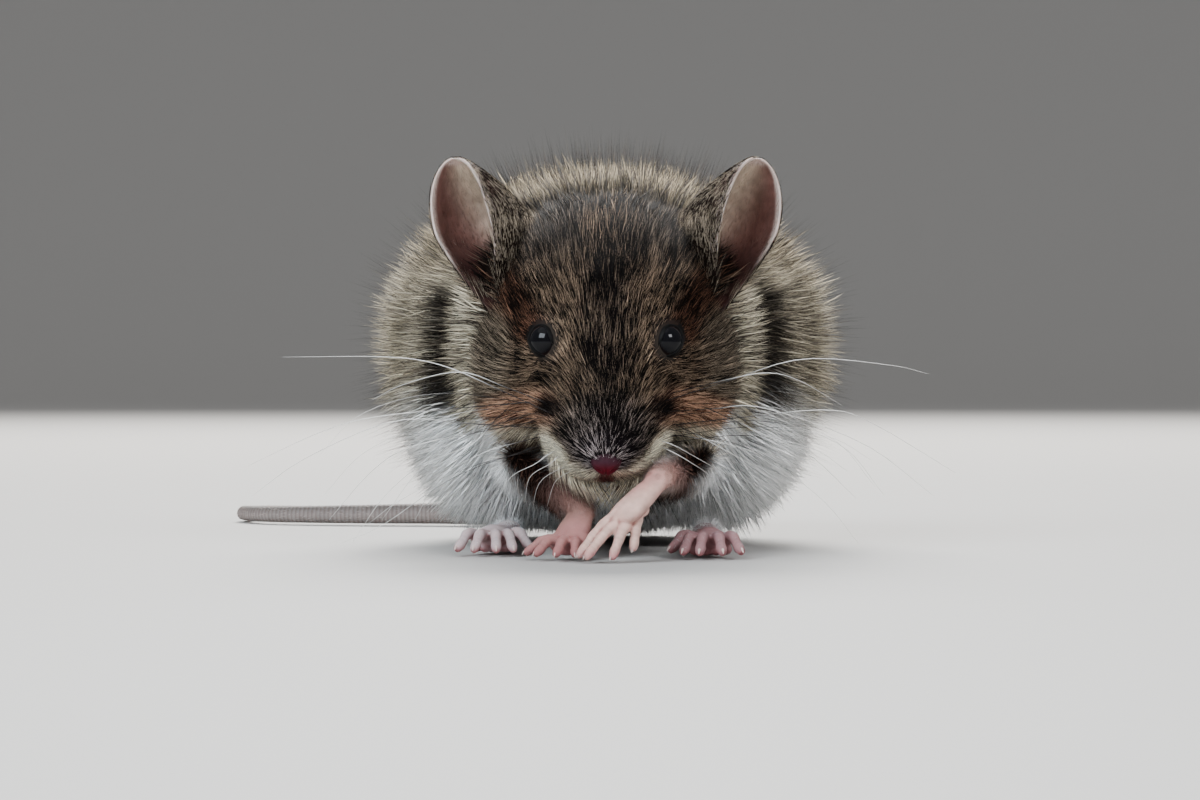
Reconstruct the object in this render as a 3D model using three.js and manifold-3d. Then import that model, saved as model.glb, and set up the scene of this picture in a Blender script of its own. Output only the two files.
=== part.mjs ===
// A house mouse, life size, as a still museum model: crouched on a flat floor, coat fluffed, head lowered,
// one forepaw set down across the other and the tail laid round behind.
// Millimetres, +Z up. The mouse faces -Y, and its own left side is at +X.
//
// The furred body is one smooth field of named masses. Head, neck and trunk are closed surfaces drawn over
// that field and parted by thin plane cuts; paws, tail, ears and eyes are swept or shelled shapes of their own.

import * as THREE from "three";
import { mergeVertices } from "three/addons/utils/BufferGeometryUtils.js";
import Module from "manifold-3d";

const wasm = await Module();
wasm.setup();

// ---- Driving dimensions ---------------------------------------------------------------------------------

const COAT_WIDTH = 41.4; // across the fluffed flanks
const COAT_TOP = 34.2; // floor to the arch of the back
const RUMP_Y = 57.5; // nose tip to the back of the rump
const HEAD_LENGTH = 26; // nose tip to the back of the head
const HEAD_PITCH = 42; // degrees that the muzzle points below level
const EYE_RADIUS = 1.55;
const EYE_SPACING = 9.6; // between the centres of the eyes
const EAR_HEIGHT = 11.0; // of the leaf, root to tip
const EAR_HALF_WIDTH = 3.95; // from the middle of the opening to its rim
const EAR_SHELL = 0.6; // thickness of the leaf
const HIND_FOOT = 16.4; // heel to toe tips
const FINGER_RADIUS = 0.52;
const TOE_RADIUS = 0.66;
const TAIL_ROOT_RADIUS = 1.65;
const TAIL_TIP_RADIUS = 0.5;
const WHISKER_RADII = [0.32, 0.25]; // root and tip, thicker than life so that they can stand as solids
const BELLY_CLEARANCE = 1.3; // floor to the lowest fur, but for the seat
const SEAM = 0.32; // gap between neighbouring pieces

// ---- Small helpers --------------------------------------------------------------------------------------

const v3 = (x, y, z) => new THREE.Vector3(x, y, z);
const mirror = (p, side) => v3(p.x * side, p.y, p.z);
const radians = THREE.MathUtils.degToRad;
const mix = THREE.MathUtils.lerp;
const step = THREE.MathUtils.smoothstep;

// A local frame: its x runs to the animal's left, y forwards along the part, z up from it.
function frame(origin, pitch) {
  const [c, s] = [Math.cos(radians(pitch)), Math.sin(radians(pitch))];
  const forwards = v3(0, -c, -s);
  const up = v3(0, -s, c);
  return {
    at: (x, y, z) => origin.clone().add(v3(x, 0, 0)).addScaledVector(forwards, y).addScaledVector(up, z),
    local: (p) => {
      const q = p.clone().sub(origin);
      return v3(q.x, q.dot(forwards), q.dot(up));
    },
  };
}

const WORLD = {
  at: v3,
  local: (p) => p.clone(),
};
const NOSE_REACH = 16.5; // head centre to nose tip, along the muzzle
const HEAD = frame(v3(0, 14, 18.3), HEAD_PITCH);

// ---- Fields: signed distances in millimetres, negative inside --------------------------------------------

// An ellipsoid, in a local frame. Masses off the midline are given once and mirrored.
function mass(where, centre, radii) {
  const [c, r] = [v3(...centre), v3(...radii)];
  return (p) => {
    const q = where.local(p);
    if (c.x > 0) q.x = Math.abs(q.x);
    q.sub(c).divide(r);
    const near = q.length();
    return (near * (near - 1)) / Math.max(q.divide(r).length(), 1e-6);
  };
}

// A rod with a round end of its own radius at each end, in a local frame.
function taper(where, from, to, radiusFrom, radiusTo) {
  const [a, b] = [v3(...from), v3(...to)];
  const along = b.clone().sub(a);
  return (p) => {
    const q = where.local(p).sub(a);
    const t = THREE.MathUtils.clamp(q.dot(along) / along.lengthSq(), 0, 1);
    return q.addScaledVector(along, -t).length() - mix(radiusFrom, radiusTo, t);
  };
}

// The smooth union of several fields: k is the width of the blend.
function blend(k, ...fields) {
  return (p) =>
    fields.reduce((sum, field) => {
      const d = field(p);
      const h = Math.max(k - Math.abs(sum - d), 0) / k;
      return Math.min(sum, d) - (h * h * k) / 4;
    }, Infinity);
}

const grown = (field, by) => (p) => field(p) - by;

// ---- The furred body ------------------------------------------------------------------------------------

const headField = blend(
  2.4,
  mass(HEAD, [0, -2.2, 1.4], [9.4, HEAD_LENGTH * 0.41, 7.6]), // braincase and crown
  taper(HEAD, [0, 3, 0.9], [0, NOSE_REACH - 2.75, 0.35], 5.9, 2.5), // muzzle
  mass(HEAD, [5.4, 1.2, -3.2], [6.2, 7.2, 5.8]), // cheeks
  mass(HEAD, [2.3, 11.0, -1.0], [2.5, 3.9, 2.7]), // whisker pads
  taper(HEAD, [0, 2, -6], [0, 11.2, -3.2], 4.4, 1.9), // jaw and chin
);
const neckField = mass(WORLD, [0, 20, 16.6], [13.4, 8, 13.6]);
const trunkField = blend(
  5,
  mass(WORLD, [0, 27, 17], [16.6, 11, 15.6]), // shoulders
  mass(WORLD, [0, 35.5, COAT_TOP / 2 + 0.3], [COAT_WIDTH / 2 + 0.1, 14.5, COAT_TOP / 2 - 0.4]), // back and belly
  mass(WORLD, [0, RUMP_Y - 12.8, 14], [17.2, 12.6, 14.2]), // rump, which sits on the floor
  mass(WORLD, [10.6, 32, 9], [6.6, 12, 7.8]), // thighs
);
const SEAT = { from: 34, to: 41 }; // where the belly's underside gives way to the seat, which meets the floor
const underside = (p) => mix(BELLY_CLEARANCE, -1, step(p.y, SEAT.from, SEAT.to)) - p.z;
const bodyField = (p) => Math.max(blend(3.5, headField, neckField, trunkField)(p), underside(p));

// ---- Surfaces -------------------------------------------------------------------------------------------

// A closed surface from rings of points between two poles, turned so that its faces point out.
function ringSurface(first, rings, last) {
  const sides = rings[0].length;
  const points = [first, ...rings.flat(), last];
  const end = points.length - 1;
  const index = [];
  const at = (ring, side) => 1 + ring * sides + (side % sides);
  for (let side = 0; side < sides; side++) {
    index.push(0, at(0, side + 1), at(0, side));
    index.push(end, at(rings.length - 1, side), at(rings.length - 1, side + 1));
    for (let ring = 0; ring + 1 < rings.length; ring++) {
      const [a, b] = [at(ring, side), at(ring, side + 1)];
      const [c, d] = [at(ring + 1, side), at(ring + 1, side + 1)];
      index.push(a, b, d, a, d, c);
    }
  }
  return facingOut(geometryOf(points, index));
}

function geometryOf(points, index) {
  return new THREE.BufferGeometry().setFromPoints(points).setIndex(index);
}

function signedVolume(geometry) {
  const { position } = geometry.attributes;
  const corners = [v3(), v3(), v3()];
  let sum = 0;
  for (let i = 0; i < geometry.index.count; i += 3) {
    corners.forEach((corner, k) => corner.fromBufferAttribute(position, geometry.index.getX(i + k)));
    sum += corners[0].dot(corners[1].cross(corners[2])) / 6;
  }
  return sum;
}

function facingOut(geometry) {
  if (signedVolume(geometry) < 0) {
    const { array } = geometry.index;
    for (let i = 0; i < array.length; i += 3) {
      [array[i + 1], array[i + 2]] = [array[i + 2], array[i + 1]];
    }
  }
  return geometry;
}

// The first point on the ray from an inner point at which the field turns positive.
function surfacePoint(field, from, direction) {
  const at = (t) => from.clone().addScaledVector(direction, t);
  let [low, high] = [0, 0.2];
  while (field(at(high)) < 0 && high < 60) {
    low = high;
    high += Math.max(0.15, -0.6 * field(at(high)));
  }
  for (let i = 0; i < 18; i++) {
    const middle = (low + high) / 2;
    if (field(at(middle)) < 0) low = middle;
    else high = middle;
  }
  return at(high);
}

// A closed surface drawn over a field by rays from a core line inside it: a fan of rings round each end of
// the core, and upright rings between them.
function drawOver(field, corePoints, { capRings, bodyRings, sides }) {
  const core = new THREE.CatmullRomCurve3(corePoints, false, "centripetal");
  const rings = [];
  const ringAt = (t, lean) => {
    const centre = core.getPoint(t);
    const ahead = core.getTangent(t);
    const across = v3(1, 0, 0);
    const up = v3().crossVectors(across, ahead);
    const ring = [];
    for (let i = 0; i < sides; i++) {
      const turn = (2 * Math.PI * (i + 0.5)) / sides;
      const direction = v3()
        .addScaledVector(across, Math.cos(turn) * Math.cos(lean))
        .addScaledVector(up, Math.sin(turn) * Math.cos(lean))
        .addScaledVector(ahead, Math.sin(lean));
      ring.push(surfacePoint(field, centre, direction));
    }
    return ring;
  };
  const quarter = Math.PI / 2;
  for (let i = 1; i <= capRings; i++) rings.push(ringAt(0, -quarter * (1 - i / capRings)));
  for (let i = 1; i < bodyRings; i++) rings.push(ringAt(i / bodyRings, 0));
  for (let i = 0; i < capRings; i++) rings.push(ringAt(1, (quarter * i) / capRings));
  const pole = (t, sign) => surfacePoint(field, core.getPoint(t), core.getTangent(t).multiplyScalar(sign));
  return ringSurface(pole(0, -1), rings, pole(1, 1));
}

// A rod swept along a smooth line through points, with a radius for each point and round ends. A flatness
// under 1 makes its section wider than high.
function sweep(points, radii, { rings = 8, sides = 8, flatness = 1 } = {}) {
  const line = new THREE.CatmullRomCurve3(points, false, "centripetal");
  const radiusAt = (t) => {
    const place = t * (radii.length - 1);
    const k = Math.min(Math.floor(place), radii.length - 2);
    return mix(radii[k], radii[k + 1], place - k);
  };
  const { tangents, normals, binormals } = line.computeFrenetFrames(rings, false);
  const ringAt = (k, lean) => {
    const t = k / rings;
    const radius = radiusAt(t);
    const side = v3().crossVectors(tangents[k], v3(0, 0, 1));
    const [across, up] =
      side.length() > 0.3
        ? [side.normalize(), v3().crossVectors(side, tangents[k])]
        : [binormals[k], normals[k]];
    const centre = line.getPoint(t).addScaledVector(tangents[k], Math.sin(lean) * radius);
    return Array.from({ length: sides }, (_, i) => {
      const turn = (2 * Math.PI * i) / sides;
      return centre
        .clone()
        .addScaledVector(across, Math.cos(turn) * Math.cos(lean) * radius)
        .addScaledVector(up, Math.sin(turn) * Math.cos(lean) * radius * flatness);
    });
  };
  const lean = Math.PI / 4;
  const all = [ringAt(0, -lean)];
  for (let k = 0; k <= rings; k++) all.push(ringAt(k, 0));
  all.push(ringAt(rings, lean));
  const pole = (k, sign) => line.getPoint(k / rings).addScaledVector(tangents[k], sign * radiusAt(k / rings));
  return ringSurface(pole(0, -1), all, pole(rings, 1));
}

// An ellipsoid turned so that its long y axis points along a direction.
function egg(centre, radii, along = v3(0, 1, 0), segments = [14, 10]) {
  const turn = new THREE.Quaternion().setFromUnitVectors(v3(0, 1, 0), along.clone().normalize());
  return new THREE.SphereGeometry(1, ...segments)
    .scale(...radii)
    .applyQuaternion(turn)
    .translate(centre.x, centre.y, centre.z);
}

// ---- Joins and cuts -------------------------------------------------------------------------------------

function solid(geometry) {
  const bare = new THREE.BufferGeometry().setAttribute("position", geometry.getAttribute("position"));
  bare.setIndex(geometry.index);
  const merged = mergeVertices(bare, 1e-4);
  return new wasm.Manifold(
    new wasm.Mesh({
      numProp: 3,
      vertProperties: merged.attributes.position.array,
      triVerts: new Uint32Array(merged.index.array),
    }),
  );
}

const joined = (...geometries) => geometries.map(solid).reduce((a, b) => a.add(b));

function geometryFrom(body) {
  const { vertProperties, triVerts } = body.getMesh();
  return new THREE.BufferGeometry()
    .setAttribute("position", new THREE.BufferAttribute(vertProperties, 3))
    .setIndex(new THREE.BufferAttribute(triVerts, 1));
}

// Keeps what lies on the side of a plane that its normal points to.
function keptAhead(body, point, normal, gap = 0) {
  const n = normal.clone().normalize();
  return body.trimByPlane(n.toArray(), n.dot(point) + gap);
}

const onFloor = (body) => keptAhead(body, v3(0, 0, 0), v3(0, 0, 1));

// ---- Head, neck and trunk -------------------------------------------------------------------------------

const headShape = (field) =>
  drawOver(field, [HEAD.at(0, 12.5, 0.2), HEAD.at(0, 6, 0), HEAD.at(0, -2, -1), v3(0, 21, 17.5)], {
    capRings: 6,
    bodyRings: 15,
    sides: 28,
  });
const trunkShape = (field) =>
  drawOver(field, [v3(0, 18, 17), v3(0, 28, 17), v3(0, 37, 16.5), v3(0, 45, 14.2)], {
    capRings: 6,
    bodyRings: 11,
    sides: 26,
  });

const NAPE = { point: v3(0, 20, 26), normal: v3(0, 0.94, -0.34) }; // parts the head from the neck
const SHOULDER = { point: v3(0, 26, 30), normal: v3(0, 0.95, -0.32) }; // parts the neck from the trunk
const EYE = HEAD.at(EYE_SPACING / 2, 5.22, 3.76);
const NOSE = HEAD.at(0, NOSE_REACH - 0.8, 0.1);

const eyeBall = (side, extra = 0) =>
  egg(mirror(EYE, side), Array(3).fill(EYE_RADIUS + extra), v3(0, 1, 0), [12, 7]);
const nosePad = (extra = 0) =>
  egg(NOSE, [1.25 + extra, 1.3 + extra, 1.2 + extra], HEAD.at(0, 1, 0).sub(HEAD.at(0, 0, 0)), [10, 6]);

// A haunch is the furred lobe over the thigh and knee.
const HAUNCH = v3(14.6, 32.5, 8.2);
const haunchEgg = (side, extra = 0) =>
  egg(mirror(HAUNCH, side), [8.2 + extra, 12.4 + extra, 8.8 + extra], v3(side * 0.1, 1, 0), [16, 9]);

// ---- Paws -----------------------------------------------------------------------------------------------

// A digit leaves the paw, bends over its middle joint and comes down to its tip.
function digit(root, tip, radius, arch) {
  const middle = root.clone().lerp(tip, 0.45).add(v3(0, 0, arch));
  return sweep([root, middle, tip], [radius * 1.05, radius * 1.05, radius * 0.8], { rings: 2, sides: 6 });
}

function forepaw({ wrist, palm, knuckles, tips, arch }) {
  const along = palm.clone().sub(wrist);
  return joined(
    sweep([wrist, wrist.clone().lerp(palm, 0.5), palm], [1.6, 1.75, 1.6], { rings: 3, sides: 10, flatness: 0.72 }),
    egg(palm, [2.0, 1.6, 1.05], along, [10, 6]),
    ...knuckles.map((knuckle, i) => digit(knuckle, tips[i], FINGER_RADIUS, arch)),
  );
}

// The left forepaw reaches across under the chin and stands on its finger tips. The right one lies flat.
const LEFT_FOREPAW = {
  wrist: v3(3.9, 2.9, 6.0),
  palm: v3(1.7, 1.3, 3.9),
  knuckles: [v3(0.3, 1.0, 3.3), v3(0.8, 0.5, 2.9), v3(1.7, 0.5, 3.0), v3(2.6, 1.2, 3.5)],
  tips: [v3(-2.1, 0.0, 0.45), v3(-1.5, -0.9, 0.36), v3(0.55, -0.8, 0.36), v3(2.2, 0.3, 1.0)],
  arch: 0.15,
};
const RIGHT_FOREPAW = {
  wrist: v3(-2.2, 6.6, 3.1),
  palm: v3(-3.0, 4.8, 1.4),
  knuckles: [v3(-4.0, 5.2, 1.35), v3(-3.9, 4.1, 1.35), v3(-3.2, 3.6, 1.35), v3(-2.4, 3.7, 1.2)],
  tips: [v3(-6.4, 4.9, 0.42), v3(-5.6, 2.9, 0.42), v3(-4.0, 1.9, 0.42), v3(-2.5, 1.8, 0.42)],
  arch: 0.4,
};

const LEFT_FOREARM = [v3(7.4, 14.4, 7.4), v3(6.1, 8.6, 6.9), v3(4.3, 3.3, 6.4)];
const RIGHT_FOREARM = [v3(-6.9, 15.5, 7.2), v3(-4.3, 11, 5.8), v3(-2.1, 7.2, 3.6)];
const foreArm = (points) => sweep(points, [3.0, 2.3, 1.7], { rings: 4, sides: 10, flatness: 0.85 });

// A hind foot: the heel and long sole, then five toes fanned out before the ball. Across is outwards.
const TOES = [
  { root: [-1.25, -1.3], tip: [-3.1, 0.7] },
  { root: [-1.1, 0.9], tip: [-2.2, 4.3] },
  { root: [-0.35, 1.3], tip: [-0.9, 5.1] },
  { root: [0.5, 1.2], tip: [0.95, 4.9] },
  { root: [1.3, 0.5], tip: [2.5, 3.7] },
];
const SOLE = HIND_FOOT - 1.5 - 5.4; // heel centre to ball centre

function hindFoot({ side, ball, turnOut }, extra = 0) {
  const turn = radians(turnOut);
  const place = (across, forward, z) =>
    v3(
      side * (ball.x + across * Math.cos(turn) + forward * Math.sin(turn)),
      ball.y - forward * Math.cos(turn) + across * Math.sin(turn),
      z,
    );
  const [heel, centre] = [place(0, -SOLE, 1.2), place(0, 0, 1.2)];
  return joined(
    sweep([heel, heel.clone().lerp(centre, 0.5), centre], [1.5 + extra, 1.4 + extra, 1.75 + extra], {
      rings: 4,
      sides: 10,
      flatness: 0.85,
    }),
    egg(centre, [1.9 + extra, 2.3 + extra, 1.15 + extra], centre.clone().sub(heel), [10, 6]),
    ...TOES.map(({ root, tip }) =>
      digit(place(...root, 1.25), place(...tip, TOE_RADIUS * 0.7), TOE_RADIUS + extra, 0.8),
    ),
  );
}

const HIND_FEET = {
  left: { side: 1, ball: v3(8.5, 9.2, 0), turnOut: 0 },
  right: { side: -1, ball: v3(9.4, 14.0, 0), turnOut: 6 },
};

// ---- Ears -----------------------------------------------------------------------------------------------

// An ear is a bowl on end. Its rim lies in an upright plane that faces forwards and outwards, and its wall
// bulges back from there in an arc of more than half a circle.
const EAR_ROOT = v3(10.3, 16, 22.3); // the middle of the rim's plane, at the root and at the tip
const EAR_LEAN = v3(2.6, 4.2, EAR_HEIGHT);
const EAR_FACING = radians(50); // outwards from straight ahead
const EAR_WIDEST = 0.45; // of the way up
const EAR_GRID = { columns: 10, rows: 7 };

// across runs from -1 at the front margin to 1 at the rear one, and up from 0 at the root to 1 at the tip.
function earPoint(across, up) {
  const facing = v3(Math.sin(EAR_FACING), -Math.cos(EAR_FACING), 0);
  const widthwards = v3(Math.cos(EAR_FACING), Math.sin(EAR_FACING), 0);
  const towardsTip = Math.max(up - EAR_WIDEST, 0) / (1 - EAR_WIDEST);
  const width = mix(0.55, 1, step(up, 0, EAR_WIDEST)) * Math.sqrt(1 - towardsTip ** 2.2);
  const arc = radians(mix(122, 62, up ** 4));
  const radius = (EAR_HALF_WIDTH * width) / Math.sin(arc);
  const lean = v3(EAR_LEAN.x * (1 - (1 - up) ** 2), EAR_LEAN.y * up, EAR_LEAN.z * up);
  return EAR_ROOT.clone()
    .add(lean)
    .addScaledVector(widthwards, radius * Math.sin(across * arc))
    .addScaledVector(facing, -radius * (Math.cos(across * arc) - Math.cos(arc)));
}

function earSheet(side, offset) {
  const { columns, rows } = EAR_GRID;
  const nudge = 1e-3;
  return Array.from({ length: rows + 1 }, (_, row) => {
    const up = 0.99 * (1 - (1 - row / rows) ** 1.6);
    return Array.from({ length: columns + 1 }, (_, column) => {
      const across = (2 * column) / columns - 1;
      const here = earPoint(across, up);
      const along = earPoint(across + nudge, up).sub(here);
      const rise = earPoint(across, up + nudge).sub(here);
      const outwards = v3().crossVectors(rise, along).normalize();
      const margin = Math.min(1 - Math.abs(across), 2 * (1 - up));
      return mirror(here.addScaledVector(outwards, offset * mix(0.7, 1, step(margin, 0, 0.3))), side);
    });
  });
}

// Each ring runs along the outer sheet and back along the inner one, and the two end rings are closed by
// strips between their halves.
function ear(side) {
  const inner = earSheet(side, -EAR_SHELL / 2);
  const rings = earSheet(side, EAR_SHELL / 2).map((row, i) => [...row, ...inner[i].reverse()]);
  const around = rings[0].length;
  const index = [];
  const quad = (a, b, c, d) => index.push(a, b, c, a, c, d);
  for (let ring = 0; ring + 1 < rings.length; ring++) {
    for (let k = 0; k < around; k++) {
      const [a, b] = [ring * around + k, ring * around + ((k + 1) % around)];
      quad(a, b, b + around, a + around);
    }
  }
  const last = (rings.length - 1) * around;
  for (let k = 0; k + 1 < around / 2; k++) {
    const ends = [around - 1 - k, around - 2 - k, k + 1, k];
    quad(...ends);
    quad(...ends.map((n) => last + n).reverse());
  }
  return facingOut(geometryOf(rings.flat(), index));
}

// ---- Tail -----------------------------------------------------------------------------------------------

const TAIL_LINE = [
  v3(0, 53, 6.4),
  v3(-1.5, 58.6, 4.0),
  v3(-6, 64.5, 0),
  v3(-15, 68.2, 0),
  v3(-25, 69.6, 0),
  v3(-33, 72.4, 0),
  v3(-36.4, 78, 0),
  v3(-33.4, 83.2, 0),
  v3(-27, 85.6, 0),
  v3(-20, 85.8, 0),
];
const TAIL_SUNK = 0.12; // how far its round section would dip below the floor, which flattens it

function tailRod() {
  const radii = TAIL_LINE.map((_, i) => mix(TAIL_ROOT_RADIUS, TAIL_TIP_RADIUS, i / (TAIL_LINE.length - 1)));
  const laid = TAIL_LINE.map((p, i) => (p.z > 0 ? p : v3(p.x, p.y, radii[i] - TAIL_SUNK)));
  return sweep(laid, radii, { rings: 30, sides: 7 });
}

// ---- Whiskers -------------------------------------------------------------------------------------------

// The three longest on each side, which set how far the animal reaches. Each starts inside its whisker pad.
const padInside = (side, height) => HEAD.at(side * 2.6, 10.5, height);
const WHISKERS = {
  left: [
    [padInside(1, 1.4), v3(16.0, 5.0, 16.2), v3(23.3, 9.0, 15.7), v3(27.0, 14.0, 14.9)],
    [padInside(1, 0.2), v3(18.0, 4.6, 12.0), v3(21.9, 6.6, 10.9), v3(29.3, 12.0, 6.6)],
    [padInside(1, -0.9), v3(12.9, 6.6, 12.0), v3(21.3, 9.6, 9.2), v3(27.5, 14.0, 4.7)],
  ],
  right: [
    [padInside(-1, 1.4), v3(-13.2, 5.0, 15.6), v3(-17.9, 7.0, 16.3), v3(-27.0, 14.0, 16.3)],
    [padInside(-1, 0.2), v3(-13.5, 4.6, 12.6), v3(-21.5, 7.0, 10.8), v3(-30.0, 12.0, 7.2)],
    [padInside(-1, -1.0), v3(-11.5, 6.2, 11.6), v3(-20.0, 9.0, 10.0), v3(-29.6, 14.0, 4.7)],
  ],
};
const whisker = (points) => sweep(points, WHISKER_RADII, { rings: 5, sides: 4 });

// ---- Parting the animal into its pieces -----------------------------------------------------------------

const headBody = solid(headShape(bodyField));
const trunkBody = onFloor(solid(trunkShape(bodyField)));
const headRoom = solid(headShape(grown(bodyField, SEAM)));
const trunkRoom = solid(trunkShape(grown(bodyField, SEAM)));
const clearOf = (body, ...geometries) => geometries.reduce((left, cutter) => left.subtract(solid(cutter)), body);

const behind = ({ point, normal }) => ({ point, normal: normal.clone().negate() });
const kept = (body, { point, normal }, gap = 0) => keptAhead(body, point, normal, gap);

const ahead = kept(headBody, behind(NAPE));
const head = clearOf(ahead, eyeBall(1, SEAM), eyeBall(-1, SEAM), nosePad(SEAM));
const rear = kept(trunkBody, NAPE, SEAM);
const neck = kept(rear, behind(SHOULDER));
const feetRoom = Object.values(HIND_FEET).map((foot) => hindFoot(foot, SEAM));
const hindquarters = feetRoom.reduce((left, foot) => left.subtract(foot), kept(rear, SHOULDER, SEAM));
const trunk = clearOf(hindquarters, haunchEgg(1, SEAM), haunchEgg(-1, SEAM));
const haunch = (side) => hindquarters.intersect(solid(haunchEgg(side)));

const tail = onFloor(solid(tailRod())).subtract(trunkRoom);
const TAIL_FIRST = { point: v3(-12, 0, 0), normal: v3(1, 0, 0) };
const TAIL_BEND = { point: v3(0, 78, 0), normal: v3(0, -1, 0) };
const tailPieces = {
  tail_base: kept(tail, TAIL_FIRST),
  tail_middle: kept(kept(tail, behind(TAIL_FIRST), SEAM), TAIL_BEND),
  tail_tip: kept(tail, behind(TAIL_BEND), SEAM),
};

const foreArmEnd = (points, paw) => {
  const along = paw.palm.clone().sub(paw.wrist);
  const cut = { point: points[2], normal: along };
  return {
    arm: kept(solid(foreArm(points)), behind(cut)).subtract(headRoom),
    paw: kept(onFloor(forepaw(paw)), cut, SEAM).subtract(headRoom),
  };
};
const leftArm = foreArmEnd(LEFT_FOREARM, LEFT_FOREPAW);
const rightArm = foreArmEnd(RIGHT_FOREARM, RIGHT_FOREPAW);

// ---- The mouse ------------------------------------------------------------------------------------------

const material = (name, color, roughness) =>
  Object.assign(new THREE.MeshStandardMaterial({ color, roughness, metalness: 0 }), { name });
const FINISH = {
  coat: material("coat", 0x6b5a48, 0.85),
  skin: material("skin", 0xc9a096, 0.55),
  ear: material("ear", 0xb58d80, 0.6),
  eye: material("eye", 0x0a0a0c, 0.08),
  nose: material("nose", 0x8a4550, 0.4),
  whisker: material("whisker", 0xd9d4cc, 0.35),
};

const mouse = new THREE.Group();
mouse.name = "mouse";

function add(name, body, finish) {
  const mesh = new THREE.Mesh(geometryFrom(body), finish);
  mesh.name = name;
  mouse.add(mesh);
}

add("head", head, FINISH.coat);
add("nose", solid(nosePad()), FINISH.nose);
add("neck", neck, FINISH.coat);
add("trunk", trunk, FINISH.coat);
for (const [name, side] of Object.entries({ left: 1, right: -1 })) {
  add(`eye_${name}`, solid(eyeBall(side)), FINISH.eye);
  add(`ear_${name}`, solid(ear(side)).subtract(headRoom), FINISH.ear);
  add(`hind_leg_${name}`, haunch(side), FINISH.coat);
  add(`hind_foot_${name}`, onFloor(hindFoot(HIND_FEET[name])), FINISH.skin);
}
add("fore_leg_left", leftArm.arm, FINISH.coat);
add("fore_leg_right", rightArm.arm, FINISH.coat);
add("forepaw_left", leftArm.paw, FINISH.skin);
add("forepaw_right", rightArm.paw, FINISH.skin);
for (const [name, body] of Object.entries(tailPieces)) add(name, body, FINISH.skin);
for (const [name, lines] of Object.entries(WHISKERS)) {
  lines.forEach((line, i) => add(`whisker_${name}_${i + 1}`, solid(whisker(line)).subtract(headRoom), FINISH.whisker));
}

// The origin goes to the middle of the footprint, on the floor.
const box = new THREE.Box3().setFromObject(mouse);
const middle = box.getCenter(v3(0, 0, 0));
mouse.position.set(-middle.x, -middle.y, -box.min.z);

export default mouse;
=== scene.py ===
"""The look of the house mouse: skin, eyes, nose, coat, whiskers and claws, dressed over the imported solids.

Everything is worked out in the millimetres of the part's own construction: the mouse faces -Y, its left side
is at +X and the floor is z = 0. to_frame() turns that into the frame's metres.
"""

import math
from itertools import product

import bpy
import numpy as np
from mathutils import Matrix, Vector
from mathutils.kdtree import KDTree


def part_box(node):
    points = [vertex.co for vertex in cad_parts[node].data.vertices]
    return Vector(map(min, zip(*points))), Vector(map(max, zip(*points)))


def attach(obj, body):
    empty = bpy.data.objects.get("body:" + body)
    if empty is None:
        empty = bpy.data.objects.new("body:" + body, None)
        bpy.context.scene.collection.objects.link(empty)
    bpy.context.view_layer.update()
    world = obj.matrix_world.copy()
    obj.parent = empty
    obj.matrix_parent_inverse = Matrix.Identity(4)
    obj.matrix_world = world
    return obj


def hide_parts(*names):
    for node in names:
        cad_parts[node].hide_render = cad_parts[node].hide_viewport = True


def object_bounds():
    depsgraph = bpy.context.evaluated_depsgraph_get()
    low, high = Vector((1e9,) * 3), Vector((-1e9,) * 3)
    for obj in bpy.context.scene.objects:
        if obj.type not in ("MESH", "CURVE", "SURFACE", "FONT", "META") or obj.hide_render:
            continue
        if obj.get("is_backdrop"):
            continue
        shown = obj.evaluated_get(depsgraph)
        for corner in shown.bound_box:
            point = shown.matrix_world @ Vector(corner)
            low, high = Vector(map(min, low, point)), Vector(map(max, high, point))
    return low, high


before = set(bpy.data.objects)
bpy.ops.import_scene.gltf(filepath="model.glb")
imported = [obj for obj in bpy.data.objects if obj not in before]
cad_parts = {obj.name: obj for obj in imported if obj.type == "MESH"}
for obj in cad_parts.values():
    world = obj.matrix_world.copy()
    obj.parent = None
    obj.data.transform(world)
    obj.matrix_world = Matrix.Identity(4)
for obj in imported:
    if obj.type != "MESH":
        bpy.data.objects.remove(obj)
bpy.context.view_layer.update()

rng = np.random.default_rng(11)

# ---- Sizes, as in the part's source (mm)

HEAD_ORIGIN = np.array([0.0, 14.0, 18.3])
HEAD_PITCH = math.radians(42)
FORWARDS = np.array([0.0, -math.cos(HEAD_PITCH), -math.sin(HEAD_PITCH)])
UPWARDS = np.array([0.0, -math.sin(HEAD_PITCH), math.cos(HEAD_PITCH)])
NOSE_REACH = 16.5
EYE_RADIUS = 1.55
EYE_SPACING = 9.6
EAR_HEIGHT = 11.0
EAR_HALF_WIDTH = 3.95
EAR_FACING = math.radians(50)
EAR_WIDEST = 0.45
EAR_BELOW_ROOT = -0.22
EAR_ROOT = np.array([10.3, 16, 22.3])
EAR_LEAN = np.array([2.6, 4.2, EAR_HEIGHT])
COAT_WIDTH = 41.4
COAT_TOP = 34.2
RUMP_Y = 57.5
BELLY_CLEARANCE = 1.3
TAIL_RADII = (1.65, 0.5)
SIDES = {"left": 1, "right": -1}


def head_at(x, y, z):
    return HEAD_ORIGIN + np.array([x, 0.0, 0.0]) + y * FORWARDS + z * UPWARDS


def head_local(p):
    q = p - HEAD_ORIGIN
    return np.stack([q[:, 0], q @ FORWARDS, q @ UPWARDS], axis=1)


EYE = head_at(EYE_SPACING / 2, 5.22, 3.76)
NOSE = head_at(0, NOSE_REACH - 0.8, 0.1)


def frame_shift():
    """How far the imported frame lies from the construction's origin: the eyes are set against each other."""
    boxes = [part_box(f"eye_{name}") for name in SIDES]
    middle = sum((low + high for low, high in boxes), Vector()) / 4
    return np.array(middle) * 1000 - np.array([0.0, EYE[1], EYE[2]])


SHIFT = frame_shift()


def to_frame(p):
    return (np.asarray(p) + SHIFT) / 1000


# ---- Small helpers


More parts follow.
